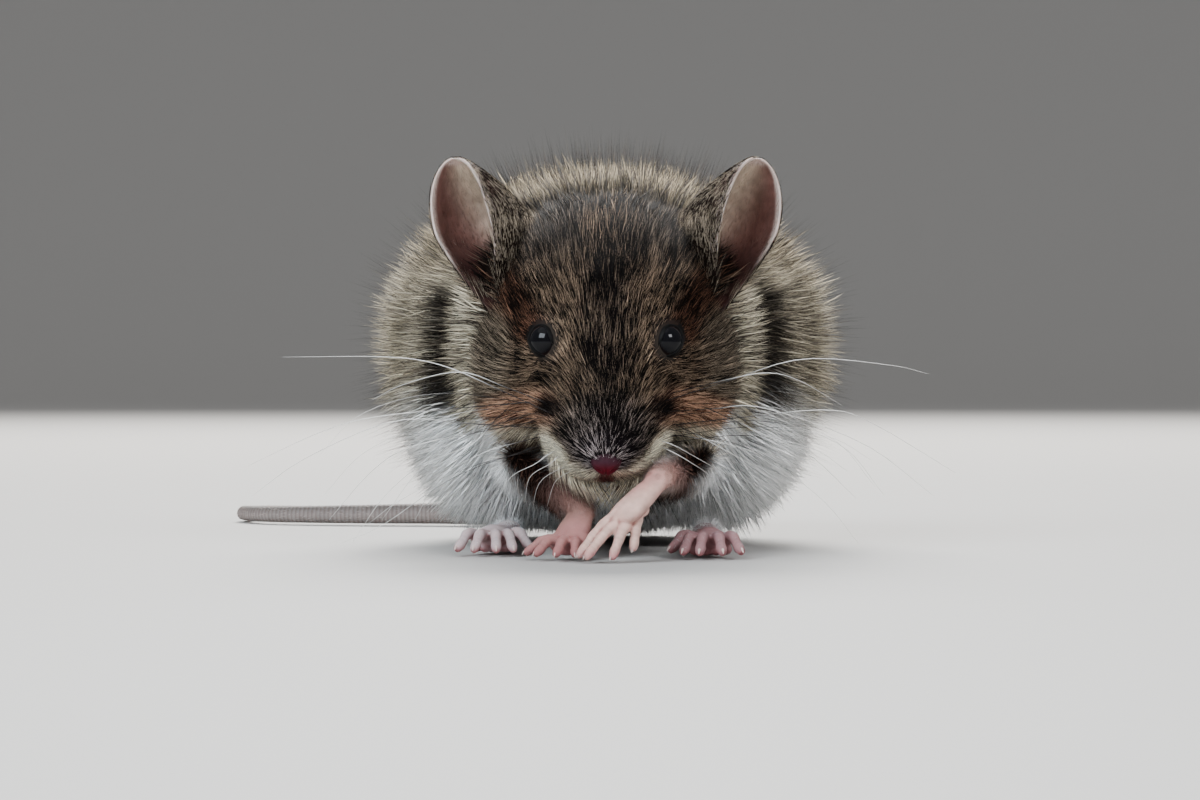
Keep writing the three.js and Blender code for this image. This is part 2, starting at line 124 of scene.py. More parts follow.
def unit(v):
    return v / np.maximum(np.linalg.norm(v, axis=-1, keepdims=True), 1e-9)


def dot(a, b):
    return (a * b).sum(1, keepdims=True)


def step(low, high, x):
    t = np.clip((x - low) / (high - low), 0, 1)
    return t * t * (3 - 2 * t)


def mix(a, b, t):
    return a + (b - a) * t


def tint(a, b, share):
    """Colour a turned towards colour b by a share for each point."""
    return mix(np.asarray(a), np.asarray(b), share[:, None])


def mirrored(p, side):
    return p * np.array([side, 1, 1])


def folded(p):
    """Points carried over to the left side."""
    return np.stack([np.abs(p[:, 0]), p[:, 1], p[:, 2]], axis=1)


def circle(sides):
    return np.linspace(0, 2 * np.pi, sides + 1)


def noise(p, size, seed):
    """Smooth noise from -1 to 1 that changes over about size mm."""
    q = p / size + seed * 7.31
    cell = np.floor(q)
    f = q - cell
    f = f * f * (3 - 2 * f)
    total = np.zeros(len(p))
    for corner in product((0, 1), repeat=3):
        hashed = np.sin((cell + corner) @ np.array([12.9898, 78.233, 37.719]) + seed) * 43758.5453
        value = 2 * (hashed - np.floor(hashed)) - 1
        total += value * np.prod(np.where(np.array(corner) == 1, f, 1 - f), axis=1)
    return total


def spline(points, places):
    """Points of a smooth line through points, at places from 0 to 1."""
    points = np.asarray(points, float)
    padded = np.vstack([2 * points[0] - points[1], points, 2 * points[-1] - points[-2]])
    where = np.clip(np.asarray(places), 0, 1) * (len(points) - 1)
    k = np.minimum(where.astype(int), len(points) - 2)
    t = (where - k)[:, None]
    a, b, c, d = (padded[k + i] for i in range(4))
    return 0.5 * (2 * b + (c - a) * t + (2 * a - 5 * b + 4 * c - d) * t**2 + (3 * b - a - 3 * c + d) * t**3)


# ---- The furred body as a field: signed distances, negative inside


def mass(centre, radii, local=None):
    """An ellipsoid, and its mirror image where it stands off the midline."""
    centre, radii = np.array(centre, float), np.array(radii, float)

    def field(p):
        q = (local(p) if local else p).copy()
        if centre[0] > 0:
            q[:, 0] = np.abs(q[:, 0])
        q = (q - centre) / radii
        near = np.linalg.norm(q, axis=1)
        return near * (near - 1) / np.maximum(np.linalg.norm(q / radii, axis=1), 1e-6)

    return field


def taper(start, end, radius_start, radius_end):
    start, end = np.array(start, float), np.array(end, float)
    along = end - start

    def field(p):
        q = head_local(p) - start
        t = np.clip(q @ along / (along @ along), 0, 1)
        return np.linalg.norm(q - t[:, None] * along, axis=1) - mix(radius_start, radius_end, t)

    return field


def blend(k, *fields):
    def field(p):
        total = fields[0](p)
        for other in fields[1:]:
            d = other(p)
            h = np.maximum(k - np.abs(total - d), 0) / k
            total = np.minimum(total, d) - h * h * k / 4
        return total

    return field


head_field = blend(
    4.0,
    mass([0, -2.2, 1.4], [9.4, 26 * 0.41, 7.6], head_local),
    taper([0, 3, 0.9], [0, NOSE_REACH - 2.75, 0.35], 5.9, 2.5),
    mass([5.4, 1.2, -3.2], [6.2, 7.2, 5.8], head_local),
    mass([2.3, 11.0, -1.0], [2.5, 3.9, 2.7], head_local),
    taper([0, 2, -6], [0, 11.2, -3.2], 4.4, 1.9),
)
trunk_field = blend(
    5,
    mass([0, 27, 17], [16.6, 11, 15.6]),
    mass([0, 35.5, COAT_TOP / 2 + 0.3], [COAT_WIDTH / 2 + 0.1, 14.5, COAT_TOP / 2 - 0.4]),
    mass([0, RUMP_Y - 12.8, 14], [17.2, 12.6, 14.2]),
    mass([10.6, 32, 9], [6.6, 12, 7.8]),
)
furred = blend(3.5, head_field, mass([0, 20, 16.6], [13.4, 8, 13.6]), trunk_field)


def behind_nape(p):
    """How far a point is behind the plane that parts the head from the neck."""
    return (p - np.array([0, 20, 26])) @ np.array([0, 0.94, -0.34])


def muzzle_sides(p):
    """1 on the sides of the muzzle, where the hair stands out towards the cheeks."""
    x, y, z = head_local(p).T
    return step(0.8, 3.2, np.abs(x) - 0.3 * z) * step(3, 6.5, y) * step(15.2, 13, y)


def coat_depth(p):
    """How thick the coat stands over the skin."""
    x, y, z = head_local(p).T
    from_ear, from_eye = (np.linalg.norm(folded(p) - place, axis=1) for place in (EAR_ROOT, EYE))
    face = np.interp(y, [-9, -3, 1, 5, 8, 11, 14, 17], [2.6, 1.9, 1.3, 0.95, 0.8, 0.6, 0.5, 0.3])
    face = face + 1.5 * step(6, 11.5, np.abs(x)) * step(9, 2, y)
    face = face + 0.7 * step(-2, -6, z) * step(15, 8, y)
    face = face + 0.35 * muzzle_sides(p)
    face = face + 1.0 * step(6.0, 3.0, from_ear)
    face = mix(face, 0.42, step(3.6, 1.8, from_eye))
    body = np.interp(p[:, 1], [14, 20, 26, 34, 50, 57], [2.4, 3.0, 3.7, 4.3, 4.2, 3.2])
    body = mix(body, np.minimum(body, 2.4), step(9, 3, p[:, 2]))
    return mix(face, body, step(-4, 3, behind_nape(p)))


def skin_field(p):
    underside = mix(BELLY_CLEARANCE, -1.0, step(34, 41, p[:, 1])) - p[:, 2]
    return np.maximum(furred(p), underside) + coat_depth(p)


def surface_points(field, origins, directions):
    """Where rays from inner points leave the field."""
    low, high = np.zeros(len(origins)), np.full(len(origins), 0.2)
    for _ in range(90):
        value = field(origins + high[:, None] * directions)
        inside = value < 0
        if not inside.any():
            break
        low = np.where(inside, high, low)
        high = np.where(inside, high + np.maximum(0.12, -0.6 * value), high)
    for _ in range(15):
        middle = (low + high) / 2
        inside = field(origins + middle[:, None] * directions) < 0
        low, high = np.where(inside, middle, low), np.where(inside, high, middle)
    return origins + high[:, None] * directions


def skin_point(start, aim):
    """Where a ray from inside the head towards a place leaves the skin."""
    return surface_points(skin_field, start[None], unit(aim - start)[None])[0]


# ---- Meshes


class Shape:
    """A triangle mesh with what the coat needs: a normal and a lie of the hair at each point, and a chart."""

    def __init__(self, points, tris, chart=None, flow=None):
        self.points = np.asarray(points, float)
        self.tris = np.asarray(tris, int)
        self.chart = chart
        self.flow = flow
        self.normals = self.mean_normals()

    def mean_normals(self):
        a, b, c = (self.points[self.tris[:, i]] for i in range(3))
        faces = np.cross(b - a, c - a)
        total = np.zeros_like(self.points)
        for i in range(3):
            np.add.at(total, self.tris[:, i], faces)
        return unit(total)

    def outward(self, centre):
        """The same shape with its faces turned away from a centre."""
        if ((self.points - centre) * self.normals).sum() < 0:
            return Shape(self.points, self.tris[:, ::-1], self.chart, self.flow)
        return self


def grid_shape(grid, outwards=True):
    """A shape over rings of points, whose hair lies along the grid's first direction."""
    rings, columns = grid.shape[:2]
    ring, column = np.meshgrid(np.arange(rings - 1), np.arange(columns - 1), indexing="ij")
    a = (ring * columns + column).ravel()
    b, c, d = a + 1, a + columns + 1, a + columns
    if not outwards:
        b, d = d, b
    tris = np.concatenate([np.stack([a, b, c], 1), np.stack([a, c, d], 1)])
    v, u = np.meshgrid(np.linspace(0, 1, rings), np.linspace(0, 1, columns), indexing="ij")
    chart = np.stack([u.ravel(), v.ravel()], axis=1)
    along = np.gradient(grid, axis=0).reshape(-1, 3)
    shape = Shape(grid.reshape(-1, 3), tris, chart, unit(along))
    if np.allclose(grid[:, 0], grid[:, -1]):
        normals = shape.normals.reshape(rings, columns, 3)
        normals[:, 0] = normals[:, -1] = unit(normals[:, 0] + normals[:, -1])
    return shape


def tube_grid(line, radii, sides, flatness=1.0, ends=5):
    """Rings round a smooth line, with round ends, wider than high where flatness is under 1."""
    line, radii = np.asarray(line, float), np.asarray(radii, float)
    tangents = unit(np.gradient(line, axis=0))
    across = np.cross(tangents, np.array([0.0, 0.0, 1.0]))
    weak = np.linalg.norm(across, axis=1) < 0.25
    across[weak] = np.cross(tangents[weak], np.array([0.0, 1.0, 0.0]))
    for i in range(1, len(across)):
        if across[i] @ across[i - 1] < 0:
            across[i] *= -1
    across = unit(across)
    above = np.cross(across, tangents)
    turn = circle(sides)

    def ring(i, lean):
        centre = line[i] + tangents[i] * math.sin(lean) * radii[i]
        side = np.cos(turn)[:, None] * across[i] + np.sin(turn)[:, None] * above[i] * flatness
        return centre + radii[i] * math.cos(lean) * side

    leans = np.linspace(math.pi / 2 - 0.02, 0, ends, endpoint=False)
    rings = [ring(0, -lean) for lean in leans]
    rings += [ring(i, 0) for i in range(len(line))]
    rings += [ring(len(line) - 1, lean) for lean in leans[::-1]]
    return np.array(rings)


def tube(points, radii, rings=12, sides=12, flatness=1.0):
    places = np.linspace(0, 1, rings)
    along = np.interp(places, np.linspace(0, 1, len(radii)), radii)
    return grid_shape(tube_grid(spline(points, places), along, sides, flatness), outwards=False)


def ball(centre, radii, along, rings=16, sides=24):
    """An ellipsoid whose y axis points along a direction."""
    y = unit(np.array(along, float))
    x = unit(np.cross(y, [0.0, 0.0, 1.0]))
    v, u = np.meshgrid(np.linspace(0.02, np.pi - 0.02, rings), circle(sides), indexing="ij")
    local = [np.cos(u) * np.sin(v) * radii[0], np.cos(v) * radii[1], np.sin(u) * np.sin(v) * radii[2]]
    return grid_shape(np.array(centre) + np.stack(local, -1) @ np.stack([x, y, np.cross(x, y)]))


def joined(shapes):
    starts = np.cumsum([0] + [len(s.points) for s in shapes[:-1]])
    tris = [s.tris + start for s, start in zip(shapes, starts)]
    return Shape(np.vstack([s.points for s in shapes]), np.vstack(tris))


def mesh_object(name, points, tris, colours):
    """A Blender object from construction points, in the frame's metres, with a tone for each point."""
    mesh = bpy.data.meshes.new(name)
    mesh.vertices.add(len(points))
    mesh.vertices.foreach_set("co", to_frame(points).astype(np.float32).ravel())
    mesh.loops.add(len(tris) * 3)
    mesh.loops.foreach_set("vertex_index", np.asarray(tris, np.int32).ravel())
    mesh.polygons.add(len(tris))
    mesh.polygons.foreach_set("loop_start", np.arange(0, len(tris) * 3, 3, dtype=np.int32))
    mesh.polygons.foreach_set("use_smooth", np.full(len(tris), True))
    mesh.update(calc_edges=True)
    attribute = mesh.color_attributes.new("tone", "FLOAT_COLOR", "POINT")
    rgba = np.ones((len(points), 4), np.float32)
    rgba[:, :3] = colours
    attribute.data.foreach_set("color", rgba.ravel())
    return placed(name, mesh)


def placed(name, data):
    """A new object in the scene."""
    made = bpy.data.objects.new(name, data)
    bpy.context.scene.collection.objects.link(made)
    return made


def remeshed(shapes, voxel):
    """One even surface over overlapping closed shapes."""
    shape = joined(shapes)
    mesh = bpy.data.meshes.new("remesh")
    mesh.from_pydata(shape.points.tolist(), [], shape.tris.tolist())
    made = placed("remesh", mesh)
    modifier = made.modifiers.new("remesh", "REMESH")
    modifier.mode = "VOXEL"
    modifier.voxel_size = voxel
    made.modifiers.new("smooth", "SMOOTH").iterations = 2
    result = made.evaluated_get(bpy.context.evaluated_depsgraph_get()).to_mesh()
    result.calc_loop_triangles()
    points = np.empty(len(result.vertices) * 3, np.float32)
    result.vertices.foreach_get("co", points)
    tris = np.empty(len(result.loop_triangles) * 3, np.int32)
    result.loop_triangles.foreach_get("vertices", tris)
    bpy.data.objects.remove(made)
    bpy.data.meshes.remove(mesh)
    even = Shape(points.reshape(-1, 3), tris.reshape(-1, 3))
    even.points[:, 2] = np.maximum(even.points[:, 2], 0)
    return even


# ---- Skin of the body

CORE = [head_at(0, 12, 0), head_at(0, 6, 0.2)]
CORE += [(0, 15.4, 18.0), (0, 21, 18.0), (0, 28, 17.2), (0, 37, 16.5), (0, 45, 14.5)]


def body_grid(sides=160, cap=24, rings=(84, 44)):
    """Rings of points from the nose to the tail root, where rays from the core leave the skin's field."""
    places = [np.linspace(0, 0.5, rings[0], endpoint=False), np.linspace(0.5, 1, rings[1])]
    places = np.concatenate([np.zeros(cap), *places, np.ones(cap)])
    fans = np.linspace(-1.56, 0, cap, endpoint=False), np.linspace(0, 1.56, cap + 1)[1:]
    leans = np.concatenate([fans[0], np.zeros(sum(rings)), fans[1]])
    ahead = unit(spline(CORE, places + 0.01) - spline(CORE, places - 0.01))
    ahead[places > 0.98] = unit(np.array([0, 0.94, -0.34]))
    across = np.array([1.0, 0.0, 0.0])
    up = np.cross(across, ahead)
    turn = circle(sides)
    side = np.cos(turn)[None, :, None] * across + np.sin(turn)[None, :, None] * up[:, None]
    directions = side * np.cos(leans)[:, None, None] + ahead[:, None] * np.sin(leans)[:, None, None]
    origins = np.broadcast_to(spline(CORE, places)[:, None], directions.shape)
    flat = surface_points(skin_field, origins.reshape(-1, 3), directions.reshape(-1, 3))
    reach = np.linalg.norm(flat - origins.reshape(-1, 3), axis=1).reshape(directions.shape[:2])
    for _ in range(6):
        around = np.roll(reach[:, :-1], 1, 1) + np.roll(reach[:, :-1], -1, 1)
        around = np.concatenate([around, around[:, :1]], axis=1)
        lengthwise = np.vstack([reach[:1], reach[:-1]]) + np.vstack([reach[1:], reach[-1:]])
        reach = 0.5 * reach + 0.125 * (around + lengthwise)
    return origins + reach[..., None] * directions


# ---- Colours

SLATE = np.array([0.022, 0.018, 0.018])
BLACK = np.array([0.004, 0.003, 0.0025])
JET = (0.003, 0.002, 0.002)
SOOT = (0.06, 0.05, 0.042)
TAN = np.array([0.42, 0.31, 0.225])
WHITE = np.array([0.90, 0.91, 0.91])
PINK = np.array([0.66, 0.42, 0.37])
CRIMSON = np.array([0.45, 0.19, 0.20])


def spot(p, centre, radii, soft=0.5):
    """1 inside an ellipse seen from the front, on both sides of the midline, falling to 0 beyond it."""
    x, z = (np.abs(p[:, 0]) - centre[0]) / radii[0], (p[:, 2] - centre[1]) / radii[1]
    return step(1 + soft, 1 - soft, np.hypot(x, z))


def streak(p, start, end, width):
    """1 along a line seen from the front, on both sides of the midline."""
    start, end = np.array(start, float), np.array(end, float)
    q = np.stack([np.abs(p[:, 0]), p[:, 2]], 1) - start
    t = np.clip(q @ (end - start) / ((end - start) @ (end - start)), 0, 1)
    return step(1.5 * width, 0.5 * width, np.linalg.norm(q - t[:, None] * (end - start), axis=1))


class Marks:
    """What each place of the coat looks like: its light hairs, its dark hairs and the share of dark ones."""

    def __init__(self, n):
        self.light = np.tile(TAN, (n, 1))
        self.dark = np.tile(BLACK, (n, 1))
        self.share = np.full(n, 0.66)

    def lay(self, where, light, dark, share):
        where = np.clip(where, 0, 1)
        self.light = tint(self.light, light, where)
        self.dark = tint(self.dark, dark, where)
        self.share = mix(self.share, share, where)

    def mean(self):
        return tint(self.light, self.dark, self.share)


def lip_height(x):
    """How high the pale edge of the lip and cheek lies, seen from the front."""
    return np.interp(x, [0, 1.7, 3.3, 4.1, 5.0, 7.5, 10, 13], [6.1, 6.9, 8.0, 9.5, 10.3, 10.0, 10.2, 11.0])


def markings(p):
    marks = Marks(len(p))
    x, y, z = np.abs(p[:, 0]), p[:, 1], p[:, 2]
    wander = noise(p, 4.0, 3) * 0.8
    back = behind_nape(p)
    head = step(3.6, 2.4, back)
    # Body: dark behind the ruff, in part painted shade where the head overhangs the neck; pale flanks, a
    # darker back, white below.
    marks.lay(step(2.2, 3.2, back), (0.20, 0.17, 0.14), (0.012, 0.010, 0.009), 0.68)
    flank = step(3.6, 5.4, back + wander)
    marks.lay(flank, (0.64, 0.60, 0.48), (0.20, 0.175, 0.14), 0.32)
    marks.lay(flank * step(22, 29, z + wander), (0.46, 0.40, 0.285), SOOT, 0.38)
    dorsal = step(9, 2, x + wander) * step(26, 31, z) * step(12, 20, back)
    marks.lay(flank * dorsal, (0.30, 0.235, 0.165), (0.014, 0.012, 0.010), 0.6)
    border = np.interp(y, [10, 24, 40, 52, 58], [12.0, 11.6, 9.6, 6.5, 4.5])
    marks.lay((1 - head) * step(border + 4.0, border - 2.2, z + wander), WHITE, (0.86, 0.86, 0.85), 0.25)
    # Painted shade: a dark streak down the crease of the neck behind each cheek, where the head shades the
    # body.
    neck_crease_shade = streak(p, (14.6, 20.8), (15.0, 13.0), 1.7) * step(32, 28, y)
    marks.lay(0.95 * neck_crease_shade, SOOT, (0.007, 0.005, 0.004), 0.86)
    # Head: crown, brow and bridge, from eye to ear, temple, ruff, cheek, under the eye, muzzle and lip, with
    # painted shade beside the muzzle and under the jaw.
    marks.lay(head * step(22, 27, z), (0.15, 0.125, 0.105), JET, 0.78)
    marks.lay(head * step(3.6, 0.8, x) * step(12, 16, z), (0.30, 0.23, 0.175), JET, 0.80)
    to_ear = head * streak(p, (6.6, 19.0), (9.6, 24.0), 1.5)
    marks.lay(to_ear, (0.28, 0.14, 0.09), (0.006, 0.003, 0.002), 0.73)
    temple = step(7.2, 9.6, x) * step(21.5, 19.0, z)
    marks.lay(head * temple, (0.36, 0.30, 0.235), (0.010, 0.008, 0.006), 0.58)
    ruff = streak(p, (12.7, 21.5), (12.9, 10.5), 1.25) * step(32, 26, y)
    marks.lay(ruff, (0.66, 0.62, 0.50), SOOT, 0.28)
    cheek = 0.9 * head * streak(p, (5.8, 12.3), (9.4, 11.4), 1.5)
    marks.lay(cheek, (0.80, 0.50, 0.35), (0.05, 0.018, 0.012), 0.44)
    marks.lay(0.4 * head * streak(p, (5.0, 14.6), (4.8, 13.0), 0.8), (0.14, 0.10, 0.07), BLACK, 0.8)
    # Painted shade: a black spot in the recess at the side of the muzzle, in front of the cheek.
    marks.lay(head * spot(p, (4.9, 12.3), (1.1, 0.85)), (0.10, 0.07, 0.05), JET, 0.90)
    marks.lay(head * spot(p, (0, 10.0), (4.2, 3.4), 0.35), (0.40, 0.34, 0.32), JET, 0.81)
    marks.lay(head * spot(p, (0, 8.6), (2.6, 2.1), 0.4), (0.50, 0.44, 0.46), (0.005, 0.003, 0.004), 0.74)
    edge = lip_height(x)
    pale = head * step(edge + 0.8, edge - 0.6, z + 0.5 * wander + 0.35 * noise(p, 0.8, 15))
    marks.lay(pale, (0.84, 0.78, 0.62), (0.12, 0.09, 0.065), 0.26)
    mouth = head * spot(p, (0, 6.35), (0.8, 0.3)) * step(8, 6, y)
    marks.lay(mouth, (0.32, 0.13, 0.12), (0.10, 0.03, 0.03), 0.5)
    # Painted shade: a dark red-brown wedge under the jaw, between cheek and arm, where the head shades the
    # chest.
    armpit_shade = streak(p, (7.3, 8.2), (3.2, 2.8), 2.0) * step(8.5, 10.5, y) * step(24, 18, y)
    jaw = np.interp(x, [4.9, 7.0, 10.0], [8.3, 8.7, 9.4])
    armpit_shade = armpit_shade * step(jaw + 1.0, jaw - 0.2, z + 0.4 * noise(p, 0.8, 17))
    marks.lay(armpit_shade, (0.14, 0.075, 0.055), (0.010, 0.005, 0.004), 0.70)
    return marks


def coat_tones(p):
    """Root, middle and tip colours of each tuft: dark ones and light ones mixed as the markings say."""
    marks = markings(p)
    n = len(p)
    drab = step(0.74, 0.50, marks.light.mean(1))
    light = marks.light * tint(1.0, (1.0, 0.94, 0.87), drab)
    patchy = 0.14 * noise(p, 0.9, 5)
    dark = (rng.random(n) < marks.share + 0.08 * drab + patchy)[:, None]
    value = np.exp(rng.normal(0, 0.34, (n, 1)))
    pale = step(0.36, 0.66, light.mean(1))
    root = tint(SLATE * 0.6, light * 0.85, pale)
    middle = np.where(dark, marks.dark * 1.3, tint(light * 0.25 + 0.3 * SLATE, light * 0.95, pale))
    tip = np.where(dark, marks.dark, light * 1.08)
    return np.stack([root, middle * value, tip * value], axis=1)


def graded(tip, root, middle):
    """Tuft colours that darken from the tip by a share at the root and in the middle."""
    return np.stack([tip * root, tip * middle, tip], axis=1)


# ---- Materials


def principled(name, **values):
    material = bpy.data.materials.new(name)
    material.use_nodes = True
    shader = material.node_tree.nodes["Principled BSDF"]
    for key, value in values.items():
        shader.inputs[key.replace("_", " ")].default_value = value
    return material, material.node_tree, shader


def toned(name, scale, strength, bump=None, **values):
    """A material whose colour is the mesh's own tones, mottled by fine noise that may also raise it."""
    material, tree, shader = principled(name, **values)
    nodes, link = tree.nodes, tree.links.new
    tone = nodes.new("ShaderNodeAttribute")
    tone.attribute_name = "tone"
    speckle = nodes.new("ShaderNodeTexNoise")
    speckle.inputs["Scale"].default_value = scale
    speckle.inputs["Detail"].default_value = 3
    place = nodes.new("ShaderNodeTexCoord")
    link(place.outputs["Object"], speckle.inputs["Vector"])
    value = nodes.new("ShaderNodeMapRange")
    value.inputs["To Min"].default_value = 1 - strength
    value.inputs["To Max"].default_value = 1 + strength
    link(speckle.outputs["Fac"], value.inputs["Value"])
    scaled = nodes.new("ShaderNodeVectorMath")
    scaled.operation = "SCALE"
    link(tone.outputs["Color"], scaled.inputs[0])
    link(value.outputs["Result"], scaled.inputs["Scale"])
    link(scaled.outputs["Vector"], shader.inputs["Base Color"])
    if bump:
        raised = nodes.new("ShaderNodeBump")
        raised.inputs["Distance"].default_value, raised.inputs["Strength"].default_value = bump
        link(speckle.outputs["Fac"], raised.inputs["Height"])
        link(raised.outputs["Normal"], shader.inputs["Normal"])
    return material


FUR = toned("fur", 900, 0.12, Roughness=0.7, Specular_IOR_Level=0.05)
SKIN = toned(
    "skin",
    1500,
    0.18,
    bump=(0.00006, 0.6),
    Roughness=0.55,
    Specular_IOR_Level=0.12,
    Subsurface_Weight=0.12,
    Subsurface_Radius=(1.0, 0.35, 0.25),
    Subsurface_Scale=0.0006,
)
EYE_GLOSS = toned("eye", 600, 0.2, Roughness=0.06, Specular_IOR_Level=0.17)
HORN = toned("horn", 2500, 0.1, Roughness=0.3)


def piece(name, points, tris, tones, material, slot, nodes):
    made = mesh_object(name, points, tris, tones)
    made.data.materials.append(material)
    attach(made, "root")
    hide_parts(*nodes)
    return made


# ---- Coat


class Roots:
    """Where tufts stand: their place, normal, lie and chart place."""

    def __init__(self, points, normals, flow, chart):
        self.points, self.normals, self.flow, self.chart = points, normals, flow, chart

    def __len__(self):
        return len(self.points)

    def pick(self, chosen):
        return Roots(self.points[chosen], self.normals[chosen], self.flow[chosen], self.chart[chosen])


def scatter(shape, per_mm2):
    """Even random places over a shape, as many per square millimetre as per_mm2 says of each place."""
    corners = shape.points[shape.tris]
    sides = np.cross(corners[:, 1] - corners[:, 0], corners[:, 2] - corners[:, 0])
    area = 0.5 * np.linalg.norm(sides, axis=1)
    order = np.lexsort((shape.chart[shape.tris[:, 0], 0], shape.chart[shape.tris[:, 0], 1]))
    weight = (area * per_mm2(corners.mean(1)))[order]
    total = weight.sum()
    count = int(total)
    marks = (np.arange(count) + rng.random(count)) * total / count
    chosen = order[np.minimum(np.searchsorted(np.cumsum(weight), marks), len(order) - 1)]
    a, b = rng.random(count), rng.random(count)
    over = a + b > 1
    a[over], b[over] = 1 - a[over], 1 - b[over]
    share = np.stack([1 - a - b, a, b], axis=1)[..., None]

    def carried(values):
        return (values[shape.tris[chosen]] * share).sum(1)

    normals = unit(carried(shape.normals))
    flow = carried(shape.flow)
    flow = unit(flow - dot(flow, normals) * normals)
    return Roots(carried(shape.points), normals, flow, carried(shape.chart))


def clumped(starts, tips, share, spacing):
    """Draws each tip towards that of the nearest clump's leader."""
    leaders = rng.choice(len(starts), max(1, int(len(starts) / spacing)), replace=False)
    tree = KDTree(len(leaders))
    for i, leader in enumerate(leaders):
        tree.insert(starts[leader], i)
    tree.balance()
    nearest = leaders[[tree.find(p)[1] for p in starts]]
    return mix(tips, tips[nearest] + 0.25 * (starts - starts[nearest]), share)


def tufts(roots, length, lift, droop, spread=0.16, clump=0.0, spacing=12):
    """The root, middle and tip of each tuft. It leaves the skin at the lift angle and bends by the droop."""
    n = len(roots)
    points, normals, flow = roots.points, roots.normals, roots.flow
    sway = 0.22 * noise(points, 2.4, 1) + 0.14 * noise(points, 0.9, 2) + rng.normal(0, spread, n)
    sway = sway[:, None]
    lie = flow * np.cos(sway) + np.cross(normals, flow) * np.sin(sway)
    lift = lift * (1 + 0.18 * noise(points, 1.7, 4) + rng.normal(0, 0.12, n))
    starts = points - 0.12 * normals

    def heading(angle):
        return lie * np.cos(angle)[:, None] + normals * np.sin(angle)[:, None]

    middles = starts + heading(lift) * (0.5 * length)[:, None]
    tips = middles + heading(lift - droop) * (0.5 * length)[:, None]
    if clump:
        tips = clumped(starts, tips, clump, spacing)
        halfway = (starts + tips) / 2
        middles = mix(middles, halfway + (middles - halfway) * 0.9, 0.5)
    return starts, middles, tips


def tones_along(spine):
    """Coat tones for the place where each tuft shows, which is nearer its tip than its root."""
    return coat_tones(0.35 * spine[1] + 0.65 * spine[2])


STRAIGHT, BENT = 4, 10  # triangles of a tuft that runs straight, and of one that bends
FLOOR_CLEARANCE = 0.06
BAKE_PATCH, BAKE_SPAN = 0.003, 0.996
MOST_TRIANGLES = 190_000


def coat_piece(name, chart, spine, width, tones, kind, nodes):
    """One piece of tufts: closed three-sided spikes, each with its own patch of the bake's chart."""
    starts, middles, tips = (np.column_stack([p[:, :2], np.maximum(p[:, 2], FLOOR_CLEARANCE)]) for p in spine)
    n = len(starts)
    heading = unit((middles if kind == BENT else tips) - starts)
    side = unit(np.cross(heading, unit(rng.normal(size=(n, 3)))))
    other = np.cross(heading, side)
    angles = np.array([0, 2, 4]) * np.pi / 3

    def ring(centre, radius):
        out = np.cos(angles)[None, :, None] * side[:, None] + np.sin(angles)[None, :, None] * other[:, None]
        return centre[:, None] + out * radius[:, None, None]

    if kind == BENT:
        points = np.concatenate([ring(starts, width / 2), ring(middles, width * 0.42), tips[:, None]], axis=1)
        pattern = [(0, 2, 1), (3, 4, 6), (4, 5, 6), (5, 3, 6)]
        for k in range(3):
            following = (k + 1) % 3
            pattern += [(k, following, 3 + following), (k, 3 + following, 3 + k)]
        stops = [0, 0, 0, 1, 1, 1, 2]
    else:
        points = np.concatenate([ring(starts, width / 2), tips[:, None]], axis=1)
        pattern = [(0, 2, 1), (0, 1, 3), (1, 2, 3), (2, 0, 3)]
        stops = [1, 1, 1, 2]
    per = points.shape[1]
    tris = (np.arange(n)[:, None, None] * per + np.array(pattern)).reshape(-1, 3)
    colours = tones[:, stops].reshape(-1, 3)
    made = piece(name, points.reshape(-1, 3), tris, colours, FUR, "coat", nodes)
    place = np.array([[k % 3 / 3, k // 3 / 2] for k in range(per - 1)] + [[0.5, 1.0]])
    chart = chart - chart.min(0)
    chart = BAKE_SPAN * chart / np.maximum(chart.max(0), 1e-6)
    uv = chart[:, None, None] + BAKE_PATCH * place[np.array(pattern)][None]
    layer = made.data.uv_layers.new(name="OFBake")
    layer.data.foreach_set("uv", uv.astype(np.float32).ravel())


def coat(name, roots, spine, width, tones, nodes, kind=STRAIGHT):
    """Splits a set of tufts into pieces of the size that the export takes."""
    pieces = math.ceil(len(roots) * kind / MOST_TRIANGLES)
    for k, chosen in enumerate(np.array_split(np.arange(len(roots)), pieces)):
        label = f"{name}_{k + 1}" if pieces > 1 else name
        parts = [p[chosen] for p in spine]
        coat_piece(label, roots.chart[chosen], parts, width[chosen], tones[chosen], kind, nodes)


# ---- Ears


def ear_point(across, up):
    """A place of the left ear: across from -1 to 1 from edge to edge, up from its root to 1 at the tip."""
    facing = np.array([math.sin(EAR_FACING), -math.cos(EAR_FACING), 0])
    widthwards = np.array([math.cos(EAR_FACING), math.sin(EAR_FACING), 0])
    towards_tip = np.maximum(up - EAR_WIDEST, 0) / (1 - EAR_WIDEST)
    width = mix(0.55, 1, step(0, EAR_WIDEST, up)) * mix(0.4, 1, step(EAR_BELOW_ROOT, 0.14, up))
    width = width * np.sqrt(np.maximum(1 - towards_tip**2.2, 0))
    arc = np.radians(mix(122, 62, up**4))
    radius = EAR_HALF_WIDTH * width / np.sin(arc)
    lean = np.stack([EAR_LEAN[0] * (1 - (1 - up) ** 2), EAR_LEAN[1] * up, EAR_LEAN[2] * up], -1)
    sideways = (radius * np.sin(across * arc))[..., None] * widthwards
    back = (radius * (np.cos(across * arc) - np.cos(arc)))[..., None] * facing
    return EAR_ROOT + lean + sideways - back


